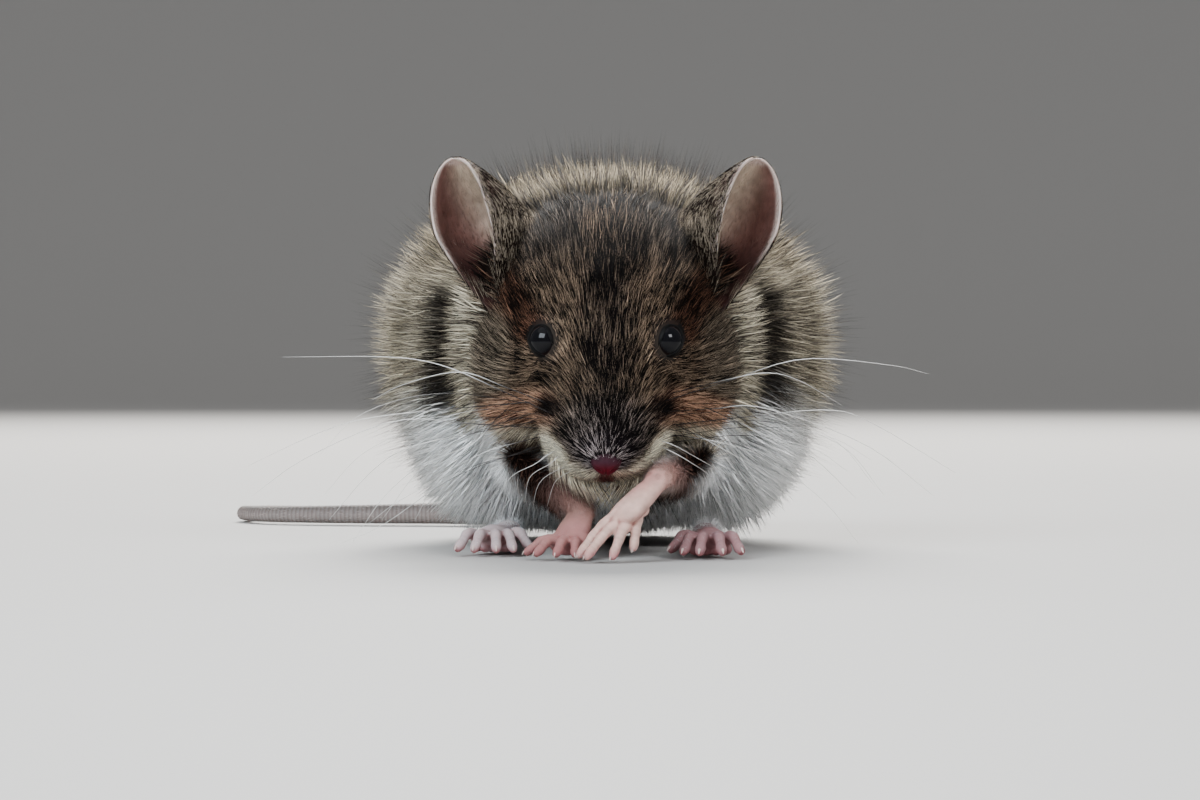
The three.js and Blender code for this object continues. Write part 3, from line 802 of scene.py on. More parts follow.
def ear_sheets(columns=52, rows=38, thickness=0.36):
    """The back and front of an ear as two grids, from below its root to its tip."""
    up = mix(EAR_BELOW_ROOT, 0.998, 1 - (1 - np.linspace(0, 1, rows)) ** 1.6)
    u, a = np.meshgrid(up, np.sin(np.linspace(-np.pi / 2, np.pi / 2, columns)), indexing="ij")
    middle = ear_point(a, u)
    outwards = unit(np.cross(ear_point(a, u + 1e-3) - middle, ear_point(a + 1e-3, u) - middle))
    margin = np.minimum(1 - np.abs(a), 2 * (1 - u))
    flat = middle.reshape(-1, 3)
    waver = (0.10 * noise(flat, 2.2, 8) + 0.04 * noise(flat, 0.7, 9)).reshape(a.shape)
    middle = middle + outwards * (waver * step(0, 0.4, margin))[..., None]
    half = (thickness / 2) * mix(0.55, 1, step(0, 0.25, margin))[..., None]
    half[-1] = 0
    return middle + outwards * half, middle - outwards * half, a, u


def ear_skin(side):
    """The ear, its tones, and its back and front on their own: beige to red inside with painted shade at the
    root, dark outside, and a painted highlight along the rim.
    """
    back, front, across, up = ear_sheets()
    back, front = mirrored(back, side), mirrored(front, side)
    ear = grid_shape(np.concatenate([back, front[:, ::-1], back[:, :1]], axis=1), side > 0)
    a = np.concatenate([across, across[:, ::-1], across[:, :1]], axis=1).ravel()
    u = np.concatenate([up, up, up[:, :1]], axis=1).ravel()
    inner = np.zeros((len(back), 2 * across.shape[1] + 1))
    inner[:, across.shape[1] : -1] = 1
    inside = tint((0.54, 0.43, 0.33), (0.15, 0.07, 0.058), step(0.05, 0.80, a + 0.5 * (0.62 - u)))
    # Painted shade: the inside turns near black down at its root, in the funnel.
    inside = tint((0.045, 0.018, 0.016), inside, step(0.10, 0.55, u))
    mottle = np.exp(0.22 * noise(ear.points, 0.55, 12) + 0.12 * noise(ear.points, 0.22, 13))
    outside = tint((0.05, 0.032, 0.026), (0.20, 0.13, 0.105), step(0.4, 0.95, u))
    # Painted highlight: a pale pink edge where the back light shines through the thin rim.
    rim = step(0.10, 0.02, np.minimum(1 - np.abs(a), 1.6 * (1 - u))) * step(0.10, 0.35, u)
    colour = tint(tint(outside, inside * mottle[:, None], inner.ravel()), (0.62, 0.50, 0.45), rim)
    return ear, colour, grid_shape(back, side > 0), grid_shape(front, side < 0)


# ---- Limbs and tail


def digit(root, tip, radius, arch):
    """A finger or toe: two knuckles and a rounded pad at its tip."""
    root, tip = np.array(root, float), np.array(tip, float)
    rises = [(0.3, 0.9), (0.55, 1.0), (0.8, 0.35)]
    points = [root, *(mix(root, tip, t) + [0, 0, arch * rise] for t, rise in rises), tip]
    radii = radius * np.array([1.0, 1.12, 0.92, 1.02, 0.86, 1.0, 0.8])
    return tube(points, radii, rings=22, sides=14)


def as_chest(p):
    """Places of a forearm carried back onto the chest, whose markings it shares."""
    return np.stack([p[:, 0], np.full(len(p), 17.0), p[:, 2]], axis=1)


FOLD_PITCH = 0.42


def digit_folds(p, digits):
    """1 in the grooves across the digits, 0 on the ridges and off the digits."""
    groove = np.zeros(len(p))
    for root, tip in digits:
        root, tip = np.array(root, float), np.array(tip, float)
        along = tip - root
        t = (p - root) @ along / (along @ along)
        near = np.linalg.norm(p - root - np.clip(t, 0, 1)[:, None] * along, axis=1)
        here = step(1.0, 0.6, near) * step(0.1, 0.25, t) * step(1.0, 0.85, t)
        ripple = np.cos(t * np.linalg.norm(along) * 2 * np.pi / FOLD_PITCH)
        groove = np.maximum(groove, here * step(0.2, 0.9, ripple))
    return groove


def hollow_shade(shape):
    """Where shade is painted: 1 in each hollow between digits and sinews, 0 on flat places and ridges."""
    pairs = np.concatenate([shape.tris[:, [0, 1]], shape.tris[:, [1, 2]], shape.tris[:, [2, 0]]])
    count = np.bincount(pairs[:, 0], minlength=len(shape.points))[:, None]
    points = shape.points
    for _ in range(4):
        total = np.stack([np.bincount(pairs[:, 0], points[pairs[:, 1], k], len(points)) for k in range(3)], 1)
        points = total / np.maximum(count, 1)
    return step(0.0, 0.05, ((points - shape.points) * shape.normals).sum(1))


FOREPAWS = {
    1: {
        "wrist": (3.9, 2.9, 6.0),
        "palm": (1.7, 1.3, 3.9),
        "knuckles": [(0.3, 1.0, 3.3), (0.8, 0.5, 2.9), (1.7, 0.5, 3.0), (2.6, 1.2, 3.5)],
        "tips": [(-2.1, 0.0, 0.5), (-1.5, -0.9, 0.42), (0.55, -0.8, 0.42), (2.2, 0.3, 1.05)],
        "arch": 0.2,
        "thumb": 1,
        "arm": [(7.4, 14.4, 7.4), (6.1, 8.6, 6.9), (4.3, 3.3, 6.4)],
    },
    -1: {
        "wrist": (-2.2, 6.6, 3.1),
        "palm": (-3.0, 4.8, 1.4),
        "knuckles": [(-4.0, 5.2, 1.35), (-3.9, 4.1, 1.35), (-3.2, 3.6, 1.35), (-2.4, 3.7, 1.2)],
        "tips": [(-6.4, 4.9, 0.46), (-5.6, 2.9, 0.46), (-4.0, 1.9, 0.46), (-2.5, 1.8, 0.46)],
        "arch": 0.45,
        "thumb": -0.6,
        "arm": [(-6.9, 15.5, 7.2), (-4.3, 11, 5.8), (-2.1, 7.2, 3.6)],
    },
}


def forelimb(paw):
    wrist, palm = np.array(paw["wrist"]), np.array(paw["palm"])
    along = palm - wrist
    parts = [
        tube(paw["arm"] + [paw["wrist"]], [1.6, 1.25, 1.1, 1.0], rings=14, sides=20, flatness=0.85),
        tube([wrist, mix(wrist, palm, 0.5), palm], [1.2, 1.45, 1.5], rings=8, sides=20, flatness=0.62),
        ball(palm, (1.75, 1.45, 0.8), along),
    ]
    parts += [digit(k, t, 0.43, paw["arch"]) for k, t in zip(paw["knuckles"], paw["tips"])]
    for knuckle in paw["knuckles"]:
        halfway = mix(palm, np.array(knuckle), 0.5) + [0, -0.1, 0.45]
        sinew = [mix(wrist, palm, 0.4) + [0, 0, 0.35], halfway, knuckle]
        parts.append(tube(sinew, [0.3, 0.34, 0.42], rings=8, sides=8))
    thumb = mix(wrist, palm, 0.8) + np.array([0.9, 0.3, -0.5]) * paw["thumb"]
    return remeshed(parts + [ball(thumb, (0.4, 0.6, 0.36), along)], 0.13)


def elbow_share(p, side, end):
    """1 on the upper arm, which the chest's coat covers."""
    return step(4.2, end, p[:, 1] - (0 if side > 0 else 3.5))


def paw_tones(paw, side):
    """Pale pink fingers with red tips and grooves. The arm and the paw behind are darker and redder: the arm
    partly in its own deeper red and partly by painted shade, the paw behind by painted shade; painted shade
    also fills each hollow.
    """
    y, z = paw.points[:, 1], paw.points[:, 2]
    flush = step(1.1, 0.3, z) * 0.35 + 0.25 * step(0.2, -0.5, paw.normals[:, 2])
    blotch = 0.5 + 0.5 * noise(paw.points, 0.8, 6)
    flush = np.clip(flush * blotch * 1.6 + 0.4 * step(1.6, 0.4, z), 0, 1)
    # Deeper red of the arm near the body, in part painted shade from the head above; the side facing -x gets
    # painted shade too.
    upper_red_and_shade = step(4.3, 6.6, z) if side > 0 else step(6.1, 9.1, y)
    upper_red_and_shade = (upper_red_and_shade + 0.4 * step(0.1, -0.8, paw.normals[:, 0])) * (0.75 + 0.5 * noise(paw.points, 1.4, 19))
    pink = tint((0.62, 0.40, 0.34), CRIMSON, flush)
    pink = tint(pink, (0.36, 0.15, 0.135), 0.75 * np.clip(upper_red_and_shade, 0, 1))
    # Painted shade in each hollow between the fingers and sinews.
    pink = tint(pink, (0.26, 0.09, 0.08), 0.75 * hollow_shade(paw))
    pink = pink * (1 + 0.10 * noise(paw.points, 0.35, 16))[:, None]
    # Painted shade: the right paw and its wrist are darkened and reddened as if in shadow.
    if side < 0:
        pink = mix(pink, np.array([0.27, 0.10, 0.10]), 0.8)
        pink = tint(pink, (0.24, 0.135, 0.11), 0.85 * step(4.4, 6.4, y))
    folds = digit_folds(paw.points, zip(FOREPAWS[side]["knuckles"], FOREPAWS[side]["tips"]))
    chest = markings(as_chest(paw.points)).mean() * 0.6
    return tint(pink * (1 - 0.10 * folds)[:, None], chest, elbow_share(paw.points, side, 9.0))


TOES = [((-1.25, -1.3), (-3.1, 0.7)), ((-1.1, 0.9), (-2.2, 4.3)), ((-0.35, 1.3), (-0.9, 5.1))]
TOES += [((0.5, 1.2), (0.95, 4.9)), ((1.3, 0.5), (2.5, 3.7))]
SOLE = 16.4 - 1.5 - 5.4  # the foot's length less the heel's radius and the longest toe
FEET = {1: {"ball": (8.5, 9.2), "turn": 0.0}, -1: {"ball": (9.4, 14.0), "turn": math.radians(6)}}


def foot_place(side, across, forward, z):
    (x, y), turn = FEET[side]["ball"], FEET[side]["turn"]
    x = x + across * math.cos(turn) + forward * math.sin(turn)
    return np.array([side * x, y - forward * math.cos(turn) + across * math.sin(turn), z])


def hind_foot(side):
    heel, centre = foot_place(side, 0, -SOLE, 1.25), foot_place(side, 0, 0, 1.15)
    parts = [
        tube([heel, mix(heel, centre, 0.5), centre], [1.25, 1.1, 1.45], rings=12, sides=20, flatness=0.82),
        ball(centre, (1.75, 2.1, 1.0), centre - heel),
    ]
    for root, tip in TOES:
        sinew = [foot_place(side, root[0] * 0.4, -2.5, 1.7), foot_place(side, *root, 1.45)]
        pad = foot_place(side, *np.multiply(root, 1.05), 0.5)
        parts.append(digit(foot_place(side, *root, 1.15), foot_place(side, *tip, 0.50), 0.47, 0.75))
        parts.append(tube(sinew, [0.3, 0.45], rings=6, sides=8))
        parts.append(ball(pad, (0.55, 0.55, 0.5), (0, 1, 0)))
    return remeshed(parts, 0.14)


def foot_tones(foot, side):
    flush = 0.6 * step(0.35, -0.5, foot.normals[:, 2]) + 0.55 * step(1.0, 0.2, foot.points[:, 2])
    flush = np.clip(flush * (0.8 + 0.4 * noise(foot.points, 0.7, 6)), 0, 1)
    flesh = tint((0.47, 0.37, 0.375), CRIMSON * 0.75, flush)
    # Painted shade: the left foot is darkened and reddened as if in shadow.
    if side > 0:
        flesh = mix(flesh, np.array([0.22, 0.075, 0.08]), 0.7)
    # Painted shade in each hollow between the toes and sinews.
    flesh = tint(flesh, (0.24, 0.09, 0.09), 0.7 * hollow_shade(foot))
    toes = [(foot_place(side, *root, 1.15), foot_place(side, *tip, 0.52)) for root, tip in TOES]
    return flesh * (1 - 0.12 * digit_folds(foot.points, toes))[:, None]


TAIL_LINE = [(0, 50, 8.4), (0, 53, 6.4), (-1.5, 58.6, 4.0), (-6, 64.5, 0), (-15, 68.2, 0), (-25, 69.6, 0)]
TAIL_LINE += [(-33, 72.4, 0), (-36.4, 78, 0), (-33.4, 83.2, 0), (-27, 85.6, 0), (-20, 85.8, 0)]
TAIL_SAMPLES = 400
RING_PITCH = 0.42


def tail_grid(sides=14):
    """The tail with its scaly rings, three loops of points to a ring, laid on the floor."""
    samples = np.linspace(0, 1, TAIL_SAMPLES)
    rough = spline(TAIL_LINE, samples)
    length = np.concatenate([[0], np.cumsum(np.linalg.norm(np.diff(rough, axis=0), axis=1))])
    count = int(length[-1] / RING_PITCH) * 3
    line = spline(TAIL_LINE, np.interp(np.linspace(0, length[-1], count), length, samples))
    radii = mix(TAIL_RADII[0] - 0.12, TAIL_RADII[1] - 0.04, np.linspace(0, 1, count) ** 0.9)
    lie = step(2.6, 0.9, line[:, 2])
    line[:, 2] = np.where(line[:, 2] < 2.6, mix(line[:, 2], np.maximum(radii - 0.06, 0), lie), line[:, 2])
    ringed = radii * (1 + np.tile([0.018, 0.008, -0.026], count // 3))
    grid = tube_grid(line, ringed, sides)
    grid[..., 2] = np.maximum(grid[..., 2], 0.0)
    return grid


def tail_tones(tail, shape):
    """Brown-grey, darker in the grooves between its rings and along the top."""
    groove = np.tile([0.0, 0.3, 1.0], len(tail))[: len(tail)]
    tone = np.repeat(tint((0.34, 0.295, 0.28), (0.24, 0.195, 0.18), groove), tail.shape[1], axis=0)
    return tint(tone * 0.9, tone * 0.42, step(0.0, 0.8, shape.normals[:, 2]))


# ---- Eyes and nose

LID_REACH = 1.13
LID_PROFILE = [(0.93, -0.30), (0.97, 0.0), (1.01, 0.07), (1.08, 0.10), (1.18, 0.05), (1.32, -0.02)]
LID_PROFILE += [(1.5, -0.16), (1.75, -0.42), (2.05, -0.9)]


def eye_basis(side):
    axis = unit(mirrored(unit(np.array([0.40, -0.91, 0.10])), side))
    level = unit(np.cross(np.array([0, 0, 1.0]), axis))
    return axis, level, np.cross(axis, level)


def eye_opening(turn, side):
    """How far the opening between the lids reaches. It slants from the outer corner down to the inner one."""
    outer = math.radians(52) if side > 0 else math.radians(128)
    inner = np.maximum(np.cos(turn - outer - math.pi), 0)
    medial = np.maximum(np.cos(turn - (math.pi if side > 0 else 0)), 0)
    return LID_REACH * (1 + 0.15 * np.cos(2 * (turn - outer)) + 0.20 * inner**8) - 0.20 * medial**2


def lids(side, sides=96):
    """The rims of the lids: they turn over at a soft edge on the ball and run down into the skin."""
    axis, level, upright = eye_basis(side)
    centre = mirrored(EYE, side)
    turn = circle(sides)
    ring = np.cos(turn)[:, None] * level + np.sin(turn)[:, None] * upright
    rings = []
    for share, above in LID_PROFILE:
        reach = mix(LID_REACH, eye_opening(turn, side), step(2.05, 1.5, share)) * share
        height = np.sqrt(np.maximum((EYE_RADIUS + 0.05) ** 2 - np.minimum(reach, 1.45) ** 2, 0)) + above
        height = height + 0.03 * np.sin(9 * turn + side) * step(1.1, 1.3, share)
        rings.append(centre + ring * reach[:, None] + axis * height[:, None])
    lid = grid_shape(np.array(rings)).outward(centre)
    lid.normals = lid.mean_normals()
    rim = np.repeat([step(1.6, 1.2, share) for share, above in LID_PROFILE], sides + 1)
    return lid, tint((0.008, 0.005, 0.004), (0.0012, 0.001, 0.001), rim)


def bell(x, size):
    return np.exp(-((x / size) ** 2))


def nose_pad(rings=72, sides=110):
    """The bare end of the nose: two nostrils, the groove between them and the pads that run to the lip."""
    v, u = np.meshgrid(np.linspace(0.01, np.pi * 0.62, rings), circle(sides), indexing="ij")
    x, z, y = np.cos(u) * np.sin(v), np.sin(u) * np.sin(v), np.cos(v)
    reach = np.ones_like(x)
    for side in (-1, 1):
        pit = np.hypot((x - side * 0.50) / 0.17, (z + 0.16) / 0.13)
        slit = np.hypot((x - side * 0.72) / 0.26, (z + 0.10 - 0.35 * (side * x - 0.72)) / 0.075)
        reach -= 0.20 * np.exp(-(pit**2)) * (y > 0) + 0.15 * np.exp(-(slit**2)) * (y > -0.2)
        reach += 0.06 * np.exp(-(((x - side * 0.5) / 0.3) ** 2) - ((z - 0.22) / 0.22) ** 2)
    reach -= 0.10 * bell(x, 0.07) * step(0.25, -0.25, z)
    reach -= 0.03 * bell(x, 0.12)
    wide = mix(0.86, 1.38, step(-1.0, 0.25, z)) * mix(1.0, 0.8, step(0.3, 1.0, z))
    local = [x * wide * reach, y * 0.95 * reach, z * mix(1.30, 1.12, step(0, 1, z)) * reach]
    right, ahead, above = (part[..., None] for part in local)
    nose = grid_shape(NOSE + right * np.array([1, 0, 0]) + ahead * FORWARDS + above * UPWARDS).outward(NOSE)
    place = (nose.points - NOSE) @ np.stack([[1, 0, 0], FORWARDS, UPWARDS]).T
    wet = step(0.75, -0.15, place[:, 2]) * step(1.5, 0.5, np.abs(place[:, 0]))
    tone = tint((0.034, 0.012, 0.018), (0.080, 0.005, 0.012), wet)
    return nose, tone * (1 + 0.3 * noise(nose.points, 0.5, 18))[:, None]


def eyeball(side):
    axis = eye_basis(side)[0]
    centre = mirrored(EYE, side)
    shape = ball(centre, (EYE_RADIUS,) * 3, axis, rings=60, sides=72).outward(centre)
    toward = unit(shape.points - centre) @ axis
    points = shape.points + axis * (0.06 * step(0.5, 0.95, toward))[:, None]
    tone = tint((0.02, 0.012, 0.010), (0.003, 0.003, 0.004), step(0.55, 0.80, toward))
    return points, shape.tris, tone


# ---- Putting the skin together


def skin_tones(p, normals):
    """The skin under the coat, in the coat's own markings but darker and redder."""
    mean = markings(p + normals * coat_depth(p)[:, None]).mean()
    return mean * mix(0.12, 0.85, step(0.2, 0.55, mean.mean(1)))[:, None] + 0.006 * PINK


body = grid_shape(body_grid(), outwards=False)
skin_parts = [(body, skin_tones(body.points, body.normals))]
lid_shapes, ear_backs, ear_fronts, paws, feet = {}, {}, {}, {}, {}
for side in SIDES.values():
    lid_shapes[side], lid_tones = lids(side)
    ear, ear_tones, ear_backs[side], ear_fronts[side] = ear_skin(side)
    paws[side] = forelimb(FOREPAWS[side])
    feet[side] = hind_foot(side)
    skin_parts += [(lid_shapes[side], lid_tones), (ear, ear_tones)]
    skin_parts.append((paws[side], paw_tones(paws[side], side)))
    skin_parts.append((feet[side], foot_tones(feet[side], side)))
tail_rings = tail_grid()
tail = grid_shape(tail_rings, outwards=False)
skin_parts.append((tail, tail_tones(tail_rings, tail)))

TAIL_NODES = ["tail_base", "tail_middle", "tail_tip"]
PAIRED = ("ear", "hind_leg", "hind_foot", "fore_leg", "forepaw")
SKIN_NODES = ["head", "neck", "trunk"] + TAIL_NODES + [f"{part}_{name}" for part in PAIRED for name in SIDES]

skin_shapes, skin_colours = zip(*skin_parts)
skin = joined(skin_shapes)
piece("skin", skin.points, skin.tris, np.vstack(skin_colours), SKIN, "skin", SKIN_NODES)
NOSE_SKIN = toned("nose", 2600, 0.3, bump=(0.00008, 0.8), Roughness=0.5, Specular_IOR_Level=0.06)
nose, nose_tones = nose_pad()
piece("nose_pad", nose.points, nose.tris, nose_tones, NOSE_SKIN, "nose", ["nose"])
for name, side in SIDES.items():
    piece(f"eyeball_{name}", *eyeball(side), EYE_GLOSS, "eye", [f"eye_{name}"])

# ---- The coat of the head and body

FACE_END = 1.75
HEAD_COAT, BODY_COAT = ["head"], ["neck", "trunk"]


def grow(name, roots, length, lift, droop, thickness, jitter, nodes, kind=STRAIGHT, **how):
    """Tufts in the coat's own tones."""
    spine = tufts(roots, length, lift, droop, **how)
    width = thickness * rng.uniform(*jitter, len(roots))
    coat(name, roots, spine, width, tones_along(spine), nodes, kind)


def eye_clearance(p):
    """Distance from the nearer eye's axis, on the head's surface."""
    q = folded(p) - EYE
    _, level, upright = eye_basis(1)
    slant = math.radians(54)
    lengthwise = q @ (math.cos(slant) * level + math.sin(slant) * upright)
    widthwise = q @ (math.sin(slant) * level - math.cos(slant) * upright)
    return np.hypot(lengthwise / 1.13, widthwise / 0.93) + 5 * step(5, 8, np.linalg.norm(q, axis=1))


def around_eyes(roots):
    """Turns the lie of the hair round the eyes, and away from them."""
    side = np.where(roots.points[:, 0] >= 0, 1.0, -1.0)
    q = roots.points - EYE * np.stack([side, np.ones_like(side), np.ones_like(side)], 1)
    near = step(3.4, 1.5, eye_clearance(roots.points))[:, None]
    away = unit(q - dot(q, roots.normals) * roots.normals)
    towards = np.minimum(dot(roots.flow, away), 0)
    roots.flow = unit(roots.flow + near * (0.25 * away - towards * away))
    return roots


def coat_length(p):
    """Length and lift of the tufts at a place of the body."""
    depth = coat_depth(p)
    lift = np.interp(depth, [0.3, 0.9, 1.6, 3.0, 4.3], [24, 26, 30, 40, 44])
    back = behind_nape(p)
    ruff = step(-7, -2, back) * step(3, 1, back) * step(6, 10, np.abs(p[:, 0]))
    muzzle = muzzle_sides(p)
    lift = np.radians(lift + 9 * ruff + 24 * muzzle)
    return depth / np.sin(lift) * mix(1.16, 1.45, muzzle), lift


def face_density(p):
    depth = coat_depth(p)
    clear = step(1.35, 1.5, eye_clearance(p))
    bare = step(NOSE_REACH - 0.1, NOSE_REACH - 0.5, head_local(p)[:, 1])
    per_mm2 = np.interp(depth, [0.3, 0.8, 1.3, FACE_END], [250, 200, 135, 78])
    return per_mm2 * (depth < FACE_END + 0.25) * clear * bare * (behind_nape(p) < 4)


def long_density(p):
    floor = step(-0.2, 0.6, p[:, 2])
    return np.interp(coat_depth(p), [FACE_END - 0.5, FACE_END, 2.4, 3.2, 4.3], [0, 22, 15, 10, 7.5]) * floor


def guard_density(p):
    return 8.0 * step(3, 9, behind_nape(p)) * step(6, 12, p[:, 2]) * mix(0.7, 1.8, step(24, 30, p[:, 2]))


def beard_density(p):
    """The longer hair that hangs from the jaw and the throat."""
    x, y, z = np.abs(p[:, 0]), p[:, 1], p[:, 2]
    under = step(lip_height(x) + 0.4, lip_height(x) - 0.8, z) * step(3.0, 4.6, z)
    return 70 * under * step(8.5, 6.5, x) * step(4.2, 5.4, y) * step(19, 16, y)


roots = around_eyes(scatter(body, face_density))
length, lift = coat_length(roots.points)
near_eye = step(1.5, 3.0, eye_clearance(roots.points))
length = length * rng.uniform(0.75, 1.25, len(roots)) * mix(0.6, 1, near_eye)
width = np.interp(length, [0.5, 1.2, 3], [0.044, 0.060, 0.082])
combed = {"spread": 0.2, "clump": 0.3, "spacing": 9}
grow("fur_face", roots, length, lift, np.radians(10), width, (0.75, 1.25), HEAD_COAT, **combed)


def long_coat(name, density, lengths, lower, droop, widths, kind, **how):
    """One layer of the body's coat: density by which it is thicker, lengths as shares of the full length."""
    roots = scatter(body, lambda p: density * long_density(p))
    length, lift = coat_length(roots.points)
    length = length * rng.uniform(*lengths, len(roots))
    width = np.interp(length, [1.5, 3, 6], widths)
    grow(name, roots, length, lift - lower, np.radians(droop), width, (0.7, 1.25), BODY_COAT, kind, **how)


long_coat("fur_body", 1, (0.8, 1.12), 0, 20, [0.085, 0.11, 0.14], BENT, clump=0.36)
fine = {"spread": 0.24, "clump": 0.2, "spacing": 9}
long_coat("fur_fine", 2.7, (0.5, 1.05), 0.12, 0, [0.06, 0.08, 0.10], STRAIGHT, **fine)

# Dark guard hairs that stand clear of the back.
roots = scatter(body, guard_density)
n = len(roots)
length = coat_length(roots.points)[0] * rng.uniform(0.88, 1.2, n)
spine = tufts(roots, length, np.radians(rng.uniform(40, 64, n)), 0)
width = rng.uniform(0.03, 0.046, n)
tones = np.where(rng.random((n, 1, 1)) < 0.85, BLACK * 2, TAN * 0.3)
coat("fur_guard", roots, spine, width, np.broadcast_to(tones, (n, 3, 3)), BODY_COAT)

# Hair of the jaw and throat, which hangs.
roots = scatter(body, beard_density)
n = len(roots)
across = roots.points[:, 0]
hanging = np.stack([0.04 * across, np.full(n, 0.10), np.full(n, -1.0)], 1)
hanging -= dot(hanging, roots.normals) * roots.normals
roots.flow = unit(0.15 * roots.flow + 0.85 * unit(hanging))
length = np.interp(np.abs(across), [0, 2.0, 5, 8], [4.8, 4.2, 2.8, 2.0]) * rng.uniform(0.7, 1.1, n)
length *= mix(0.5, 1, step(4.8, 8.0, roots.points[:, 1]))
starts, middles, tips = tufts(roots, length, 0.75, 0.45, spread=0.2, clump=0.35)
middles = middles + np.array([0, 0, -0.06]) * length[:, None]
tips = tips + np.array([0, 0, -0.35]) * length[:, None]
spine = starts, middles, tips
coat("fur_jaw", roots, spine, rng.uniform(0.05, 0.09, n), tones_along(spine), HEAD_COAT, BENT)

# The lids' own short hair, from the dark rims back into the coat.
for name, side in SIDES.items():
    lid = lid_shapes[side]
    axis = eye_basis(side)[0]
    away = lid.points - mirrored(EYE, side)
    away = away - (away @ axis)[:, None] * axis
    lid.flow = unit(0.6 * unit(away) + np.array([0.25 * side, 0.55, 0.2]))
    lid.chart = 0.2 * lid.chart
    roots = scatter(lid, lambda p: 210 * step(1.42, 1.6, eye_clearance(p)))
    length = np.interp(eye_clearance(roots.points), [1.4, 2.4], [0.45, 0.9])
    length = length * rng.uniform(0.7, 1.2, len(roots))
    grow(f"fur_lid_{name}", roots, length, 0.45, 0.1, 1, (0.04, 0.06), HEAD_COAT, spread=0.1)

# ---- The hair of ears, limbs and tail


def ear_back_look(roots, low):
    """Length and tip colour on the back of an ear: short dark hair, streaked, shorter towards the tip."""
    n = len(roots)
    short = mix(1, 0.35, step(8.0, 10.5, roots.points[:, 2] - EAR_ROOT[2]))
    length = mix(1.7, 3.0, low) * rng.uniform(0.7, 1.2, n) * short
    streaky = noise(roots.points * np.array([1, 1, 0.3]), 0.9, 14)
    dark = (rng.random(n) < 0.74 + 0.2 * streaky)[:, None]
    return length, np.where(dark, np.array([0.013, 0.008, 0.006]), np.array([0.44, 0.36, 0.27]))


def ear_inside_look(roots, low):
    """Length and tip colour inside an ear: fine down, beige to red as the skin under it, darkened towards the
    root as painted shade.
    """
    n = len(roots)
    length = mix(0.55, 0.9, low) * rng.uniform(0.7, 1.2, n)
    raised = (roots.points[:, 2] - EAR_ROOT[2]) / EAR_HEIGHT
    outer = step(0.05, 0.80, np.sin(np.pi * (roots.chart[:, 0] - 0.5)) + 0.5 * (0.62 - raised))
    tip = tint((0.58, 0.47, 0.36), (0.20, 0.10, 0.08), outer)
    # Painted shade: the down turns dark towards the ear's root.
    return length, tint(tip, (0.08, 0.036, 0.03), step(0.5, 0.15, raised)) * rng.uniform(0.5, 1.2, (n, 1))


for name, side in SIDES.items():
    back = scatter(ear_backs[side], lambda p: 48 * step(EAR_ROOT[2] + 13, EAR_ROOT[2] + 2, p[:, 2]) + 24)
    inside = scatter(ear_fronts[side], lambda p: np.full(len(p), 18.0))
    looks = ("back", back, ear_back_look, 1.0), ("inside", inside, ear_inside_look, 0.55)
    for label, roots, look, fineness in looks:
        low = step(EAR_ROOT[2] + 7, EAR_ROOT[2] + 1, roots.points[:, 2])
        length, tip = look(roots, low)
        spine = tufts(roots, length, 0.20, 0.08)
        width = rng.uniform(0.03, 0.052, len(roots)) * fineness
        coat(f"ear_{label}_{name}", roots, spine, width, graded(tip, 0.6, 0.8), [f"ear_{name}"])


def comb(shape, along, across, height):
    """Lays a limb's hair along it, with a chart that goes round and along it."""
    spin = np.arctan2(shape.points[:, 2] - height, shape.points[:, 0] - across)
    place = shape.points @ along
    place = np.clip((place - place.min()) / (place.max() - place.min()), 0, 1)
    shape.chart = np.stack([np.clip((spin + np.pi) / (np.pi + np.pi), 0, 1), place], 1)
    shape.flow = np.broadcast_to(along, shape.points.shape)


